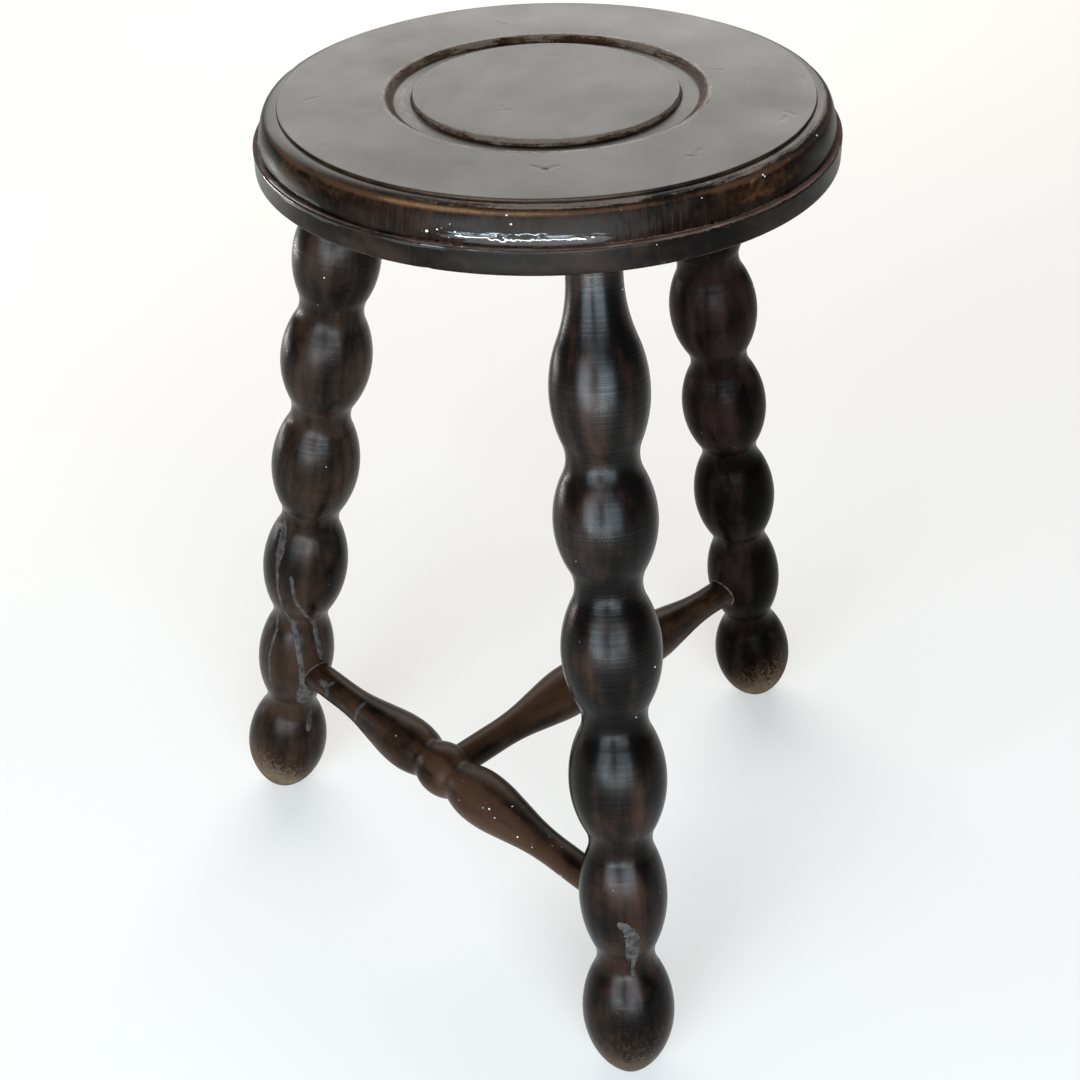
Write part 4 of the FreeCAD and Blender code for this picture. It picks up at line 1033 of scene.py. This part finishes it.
# %% Seat boards
JOINT = 46.5
SEAT_CUTS = {"left": [(JOINT, 1)], "middle": [(JOINT, -1), (-JOINT, 1)], "right": [(-JOINT, -1)]}
GRAIN_SHIFT = {"left": 310.0, "middle": 0.0, "right": 730.0}
BORE_BELOW = 26.0
ACROSS = Vector((-math.sin(GRAIN), math.cos(GRAIN), 0.0))


def saw(mesh, offset, side):
    """Keeps the part of a mesh on one side of a joint line, and closes the sawn face."""
    work = bmesh.new()
    work.from_mesh(mesh)
    everything = work.verts[:] + work.edges[:] + work.faces[:]
    plane = {"plane_co": ACROSS * offset * MM, "plane_no": ACROSS * side, "dist": 1e-7}
    bmesh.ops.bisect_plane(work, geom=everything, clear_inner=True, **plane)
    open_edges = [edge for edge in work.edges if edge.is_boundary]
    bmesh.ops.edgeloop_fill(work, edges=open_edges)
    bmesh.ops.recalc_face_normals(work, faces=work.faces)
    work.to_mesh(mesh)
    work.free()


seat_pieces = {}
for board, sawn in SEAT_CUTS.items():
    piece = bpy.data.objects.new(f"seat_piece_{board}", skin.data.copy())
    scene.collection.objects.link(piece)
    for offset, side in sawn:
        saw(piece.data, offset, side)
    for bearing, *_ in LEGS.values():
        angle = math.radians(bearing)
        foot = round_spot(SEAT_LEG_RADIUS, angle, UNDERSIDE)
        inside = foot.dot(ACROSS)
        owner = "left" if inside > JOINT else "right" if inside < -JOINT else "middle"
        if owner == board:
            up = round_spot(-math.sin(SPLAY), angle, math.cos(SPLAY))
            length = BORE_BELOW + TENON_LENGTH + END_GAP
            bore(piece, foot - up * BORE_BELOW, up, length, TENON_RADIUS + GLUE_GAP)
    spots = positions(piece.data) / MM
    spots[:, 2] -= UNDERSIDE
    along = spots[:, 0] * math.cos(GRAIN) + spots[:, 1] * math.sin(GRAIN)
    across = spots[:, 1] * math.cos(GRAIN) - spots[:, 0] * math.sin(GRAIN)
    shift = GRAIN_SHIFT[board]
    grain = np.stack([across + shift, spots[:, 2] + shift, along], 1)
    set_vector(piece.data, "grain", grain * MM)
    marks, lathe = seat_marks(spots)
    for name, values in marks.items():
        set_value(piece.data, name, values)
    set_vector(piece.data, "lathe", lathe * MM)
    settle(piece, seat_finish, f"seat_board_{board}", crease=28.0)
    seat_pieces[board] = piece
bpy.data.objects.remove(skin)

# %% [markdown]
# ## Dried runs
# Something milky once ran down two legs and a stretcher and dried there. A run is drawn as a line
# of picture points with a width at each. Rays from the camera carry the line onto the wood, Python
# lays a flat ribbon along it, and a geometry tree presses the ribbon onto the surface with a low
# crown, so that it hugs the bobbins from any side.

# %% Films
FILM_MIRROR = 0.12


def dried_film(name, thin, thick, size, rough):
    """Finish of a dried film, cloudy between two colours."""
    material, shader, start = new_paint(name)
    place = start.node("ShaderNodeTexCoord", None, None, output=3)
    cloud = streaks(start, place, (size, size, size), detail=4.0, roughness=0.65)
    blend(start, cloud.between(0.3, 0.72), thin, thick).into(shader, "Base Color")
    (rough + cloud * 0.25).into(shader, "Roughness")
    set_sockets(shader, {"Specular IOR Level": FILM_MIRROR})
    return material


THIN_MILK, THICK_MILK = (0.014, 0.0118, 0.0105, 1), (0.066, 0.056, 0.051, 1)
THIN_SPECK, THICK_SPECK = (0.36, 0.34, 0.31, 1), (0.72, 0.70, 0.66, 1)
THIN_GLUE, THICK_GLUE = (0.02, 0.0155, 0.0122, 1), (0.08, 0.065, 0.054, 1)
milk_finish = dried_film("dried_milk", THIN_MILK, THICK_MILK, 260.0, 0.42)
speck_finish = dried_film("pale_specks", THIN_SPECK, THICK_SPECK, 900.0, 0.4)
glue_finish = dried_film("squeezed_glue", THIN_GLUE, THICK_GLUE, 500.0, 0.42)
print("films:", milk_finish.name, speck_finish.name, glue_finish.name)

# %% Tree that presses onto a surface
HOLDER = "NodeSocketObject"
pressing, wires, pressing_inputs = new_tree("pressing", {"Target": HOLDER, "Material": PAINT})
sheet = wires["Geometry"]
inputs = {"Object": wires["Target"]}
target = sheet.node("GeometryNodeObjectInfo", None, inputs, output="Geometry")
nearest = sheet.node("GeometryNodeProximity", {"target_element": "FACES"}, {0: target})
inputs = {"Mesh": target, "Value": sheet.node("GeometryNodeInputNormal")}
facing = sheet.node("GeometryNodeSampleNearestSurface", {"data_type": "FLOAT_VECTOR"}, inputs)
crown = sheet.node("GeometryNodeInputNamedAttribute", {"data_type": "FLOAT"}, {"Name": "crown"})
inputs = {0: facing, "Scale": crown}
raised = sheet.node("ShaderNodeVectorMath", {"operation": "SCALE"}, inputs)
inputs = {"Geometry": sheet, "Position": nearest, "Offset": raised}
pressed = sheet.node("GeometryNodeSetPosition", None, inputs)
smooth = sheet.node("GeometryNodeSetShadeSmooth", None, {"Geometry": pressed})
close_tree(pressing, smooth, wires["Material"])
print("pressing tree:", len(pressing.nodes), "nodes")

# %% Rays onto the wood
PICTURE = 1080.0
PIXEL = camera_data.sensor_width / camera_data.lens / PICTURE


def picture_ray(x, y):
    """Direction from the camera through a point of the picture."""
    view = Vector(((x - PICTURE / 2) * PIXEL, (PICTURE / 2 - y) * PIXEL, -1.0))
    return (camera.matrix_world.to_3x3() @ view).normalized()


def surface_of(piece):
    """Search tree of a piece's faces, which rays can hit."""
    corners = [v.co for v in piece.data.vertices]
    return BVHTree.FromPolygons(corners, [p.vertices[:] for p in piece.data.polygons])


def smooth_line(points, step):
    """Points of a line with their widths, spaced evenly along a smooth path through them."""
    points = np.array(points, float)
    lengths = np.concatenate([[0], np.cumsum(np.hypot(*np.diff(points[:, :2], axis=0).T))])
    even = np.linspace(0, lengths[-1], max(4, int(lengths[-1] / step)))
    line = np.stack([np.interp(even, lengths, points[:, k]) for k in range(3)], 1)
    for _ in range(2):
        line[1:-1] = (line[:-2] + 2 * line[1:-1] + line[2:]) / 4
    return line


print("middle ray:", [round(c, 3) for c in picture_ray(PICTURE / 2, PICTURE / 2)])

# %% Ribbon of a run
LANES = np.linspace(-1.0, 1.0, 9)
RIBBON_STEP, RUN_THICKNESS, SUNK_EDGE, SUNK_BACK = 1.2, 0.22, 0.03, 0.25


def ribbon_faces(rows, wide):
    """Faces of a closed ribbon: its top, its back, which follows after the top, and its edges."""
    count = rows * wide
    faces = []
    for row in range(rows - 1):
        for lane in range(wide - 1):
            a, b = row * wide + lane, (row + 1) * wide + lane
            faces += [(a, a + 1, b + 1, b), (count + a, count + b, count + b + 1, count + a + 1)]
        left, right = row * wide, row * wide + wide - 1
        faces += [(left, left + wide, count + left + wide, count + left)]
        faces += [(right + wide, right, count + right, count + right + wide)]
    last = count - wide
    for lane in range(wide - 1):
        faces += [(lane + 1, lane, count + lane, count + lane + 1)]
        faces += [(last + lane, last + lane + 1, count + last + lane + 1, count + last + lane)]
    return faces


def outward(mesh):
    """Turns the faces of a closed mesh outwards."""
    work = bmesh.new()
    work.from_mesh(mesh)
    bmesh.ops.recalc_face_normals(work, faces=work.faces)
    work.to_mesh(mesh)
    work.free()


def dried_run(name, piece, points, seed):
    """Ribbon along a line of picture points (x, y, width), pressed onto the piece under it."""
    surface = surface_of(piece)
    centres = []
    for x, y, width in smooth_line(points, RIBBON_STEP):
        hit, normal, _, distance = surface.ray_cast(camera.location, picture_ray(x, y))
        if hit:
            centres.append((hit, normal, 0.5 * width * PIXEL * distance))
    spots, crowns = [], []
    for index, (hit, normal, half) in enumerate(centres):
        ahead = centres[min(index + 1, len(centres) - 1)][0] - centres[max(index - 1, 0)][0]
        side = normal.cross(ahead).normalized()
        taper = min(1.0, 0.35 + 0.4 * min(index, len(centres) - 1 - index))
        for lane in LANES:
            ragged = 1.0 + 0.5 * noise(Vector((index * 0.45, math.copysign(3.0, lane), seed)))
            spots.append(hit + side * lane * half * taper * ragged)
            swell = 0.7 + 0.6 * noise(hit * 700.0 + Vector((seed, 0, 0)))
            rise = RUN_THICKNESS * MM * max(1.0 - lane * lane, 0.0) ** 0.6 * swell
            crowns.append(rise - SUNK_EDGE * MM)
    crowns += [-SUNK_BACK * MM] * len(spots)
    mesh = bpy.data.meshes.new(name + "_ribbon")
    faces = ribbon_faces(len(centres), len(LANES))
    mesh.from_pydata([tuple(v) for v in spots * 2], [], faces)
    set_value(mesh, "crown", crowns)
    values = {"Target": piece, "Material": milk_finish}
    made = run_tree(name, mesh, pressing, pressing_inputs, values)
    outward(made.data)
    return made


def add_on(piece):
    """Hands over a mark on the wood, which stands for no CAD node."""
    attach(piece, "root")
    print(piece.name, len(piece.data.polygons), "faces")


print("a run is", len(LANES), "points wide and up to", RUN_THICKNESS, "mm thick")

# %% Runs
RUNS = {
    "left": [
        [
            (285.5, 512, 4), (284, 530, 10), (280, 552, 10), (277, 566, 5), (277.6, 590, 3.5),
            (282.7, 609, 3.5), (288, 617, 4), (293.6, 625, 6), (296.4, 636, 6), (299, 653, 6),
            (301.8, 669, 6), (302.6, 685, 7), (303, 692, 15), (304.5, 699, 17), (305, 704, 10),
        ],
        [
            (277.3, 609, 4), (277.3, 628, 3.5), (272.6, 642, 3), (269, 657, 3), (269.6, 669, 2.8),
            (270, 683, 3.6),
        ],
        [
            (291, 576, 4), (293.6, 595.5, 4.5), (299, 607.7, 4.5), (307.3, 617, 4),
            (314, 622.7, 4.5), (316.8, 636.4, 6.5), (320, 650, 7), (321.7, 659.5, 3),
        ],
        [(291, 620, 3), (299, 623.3, 2.5)],
        [(312.7, 705, 3), (309.2, 718, 5), (308.5, 731, 8)],
    ],
    "front": [
        [
            (617.5, 923, 6), (622, 926, 9), (628, 930, 12), (632.5, 937, 15), (633.5, 945, 15),
            (633, 950, 14), (635, 955, 9), (634.5, 960, 6), (633, 966, 4), (632.7, 972, 4),
            (635, 976, 6),
        ],
        [(628.5, 940, 7), (628.5, 950, 6), (629, 957, 5.5), (629, 961, 4)],
    ],
    "long": [
        [(319, 679, 4), (322.5, 683, 7), (326.5, 685, 9), (327, 691, 4.5), (326.6, 697.5, 3.5)],
        [(327, 685, 5), (332, 684, 5), (335, 681, 3)],
        [(366.5, 701.8, 4), (359.5, 707.2, 6), (356.4, 712.6, 4), (354, 722, 3.5)],
    ],
}
for holder, runs in RUNS.items():
    piece = leg_pieces.get(holder) or rail_pieces[holder]
    for number, points in enumerate(runs, start=1):
        add_on(dried_run(f"dried_run_{holder}_{number}", piece, points, float(number)))

# %% [markdown]
# ## Glue at the joints
# Where a stretcher enters a leg, a little glue was squeezed out and dried as a pale ring. Rays
# along the stretcher find the edge of its hole on the round leg, and the turning tree, which sweeps
# a circle along any line with a radius on it, makes the bead.

# %% Glue beads
BEAD_STEPS, BEAD_SIDES, BEAD_OUT = 72, 10, 0.45
# Each bead: its leg, where its rays start and their direction.
BEADS = {
    "left": (leg_pieces["left"], (RAIL_X, 60.0, RAIL_HEIGHT), (0, 1, 0)),
    "front": (leg_pieces["front"], (RAIL_X, -60.0, RAIL_HEIGHT), (0, -1, 0)),
    "right": (leg_pieces["right"], (80.0, 0.0, RAIL_HEIGHT), (1, 0, 0)),
}


def glue_bead(name, piece, start, direction, seed):
    """Uneven bead of glue round a stretcher where it meets a piece."""
    surface = surface_of(piece)
    axis = Vector(direction).normalized()
    turn_to = axis.to_track_quat("Z", "Y").to_matrix()
    loop, radii = [], []
    for step in range(BEAD_STEPS):
        angle = 2 * math.pi * step / BEAD_STEPS
        spot = turn_to @ round_spot(RAIL_END + BEAD_OUT, angle)
        hit = surface.ray_cast((Vector(start) + spot) * MM, axis)[0]
        if hit:
            loop.append(tuple(hit))
            radii.append(0.62 + 0.45 * noise(round_spot(2, angle, seed)))
    mesh = bpy.data.meshes.new(name + "_line")
    mesh.from_pydata(loop, [(i, (i + 1) % len(loop)) for i in range(len(loop))], [])
    set_value(mesh, "radius", np.array(radii, np.float32) * MM)
    values = {"Sides": BEAD_SIDES, "Wobble": 0.1 * MM, "Ring depth": 0.0}
    values.update({"Seed": seed, "Material": glue_finish})
    made = run_tree(name, mesh, turning, turning_inputs, values)
    outward(made.data)
    return made


for seed, (side, bead_place) in enumerate(BEADS.items(), start=5):
    add_on(glue_bead(f"glue_bead_{side}", *bead_place, float(seed)))

# %% [markdown]
# ## Specks
# Pale specks of old paint sit here and there on the dark wood. A dense patch of small pale ones on
# the front of the rim is painted glints of varnish. They are scattered over each piece by a
# geometry tree with a fixed seed, each one a small flattened drop lying on the surface. An
# attribute called
# `spotted` says where they are thick.

# %% Speck tree
sizes = {"Density": FLOAT, "Size": FLOAT, "Seed": WHOLE, "Material": PAINT}
specks, wires, speck_inputs = new_tree("specks", sizes)
wood = wires["Geometry"]
inputs = {"Name": "spotted"}
spotted = wood.node("GeometryNodeInputNamedAttribute", {"data_type": "FLOAT"}, inputs)
inputs = {"Mesh": wood, "Density": spotted * wires["Density"], "Seed": wires["Seed"]}
scatter = wood.node("GeometryNodeDistributePointsOnFaces", None, inputs)
lie = Wire(specks, scatter.socket.node.outputs["Rotation"])
drop = wood.node("GeometryNodeMeshIcoSphere", None, {"Radius": 1.0, "Subdivisions": 2})
inputs = {"Min": 0.4, "Max": 1.0, "Seed": wires["Seed"]}
spread = wood.node("FunctionNodeRandomValue", None, inputs, output="Value")
wide = spread * spread * wires["Size"]
inputs = {"X": wide, "Y": wide * 0.8, "Z": wide * 0.35}
shape = wood.node("ShaderNodeCombineXYZ", None, inputs)
inputs = {"Points": scatter, "Instance": drop, "Rotation": lie, "Scale": shape}
drops = wood.node("GeometryNodeInstanceOnPoints", None, inputs)
close_tree(specks, drops, wires["Material"])
print("speck tree:", len(specks.nodes), "nodes")

# %% Specks
SPECKS_PER_SQUARE_METRE = 450.0
SPECK_SIZE, SEAT_SPECK_SIZE = 0.6 * MM, 0.8 * MM


def seat_specks_and_glints(spots):
    """How thick the specks lie on the rim, with a dense patch of pale ones that are painted glints.
    The flat top and the widest places stay free.
    """
    out, bearing, height = round_readings(spots)
    height -= UNDERSIDE
    # A dense patch on the belly of the rim's front: pale specks that are painted glints of varnish.
    share = 1.5 + 330.0 * near(bearing, 212.0, 9.0) * bell(height - 16.0, 2.6)
    share += 60.0 * near(bearing, 250.0, 30.0) * bell(height - 25.3, 0.9)
    return share * (out > 127.5) * (height < 26.3) * (turn_gap(bearing, 180.0) ** 2 > 600.0)


specked = [*leg_pieces.values(), *rail_pieces.values(), *seat_pieces.values()]
for seed, piece in enumerate(specked, start=11):
    spots = positions(piece.data) / MM
    share, size = np.ones(len(spots)), SPECK_SIZE
    if piece in seat_pieces.values():
        share, size = seat_specks_and_glints(spots), SEAT_SPECK_SIZE
    if piece is rail_pieces["long"]:
        share = 2.0 + 14.0 * np.clip(-spots[:, 1] / 90.0, 0, 1)
    base = piece.data.copy()
    set_value(base, "spotted", share)
    values = {"Density": SPECKS_PER_SQUARE_METRE, "Size": size}
    values.update({"Seed": seed, "Material": speck_finish})
    add_on(run_tree(f"specks_{piece.name}", base, specks, speck_inputs, values))
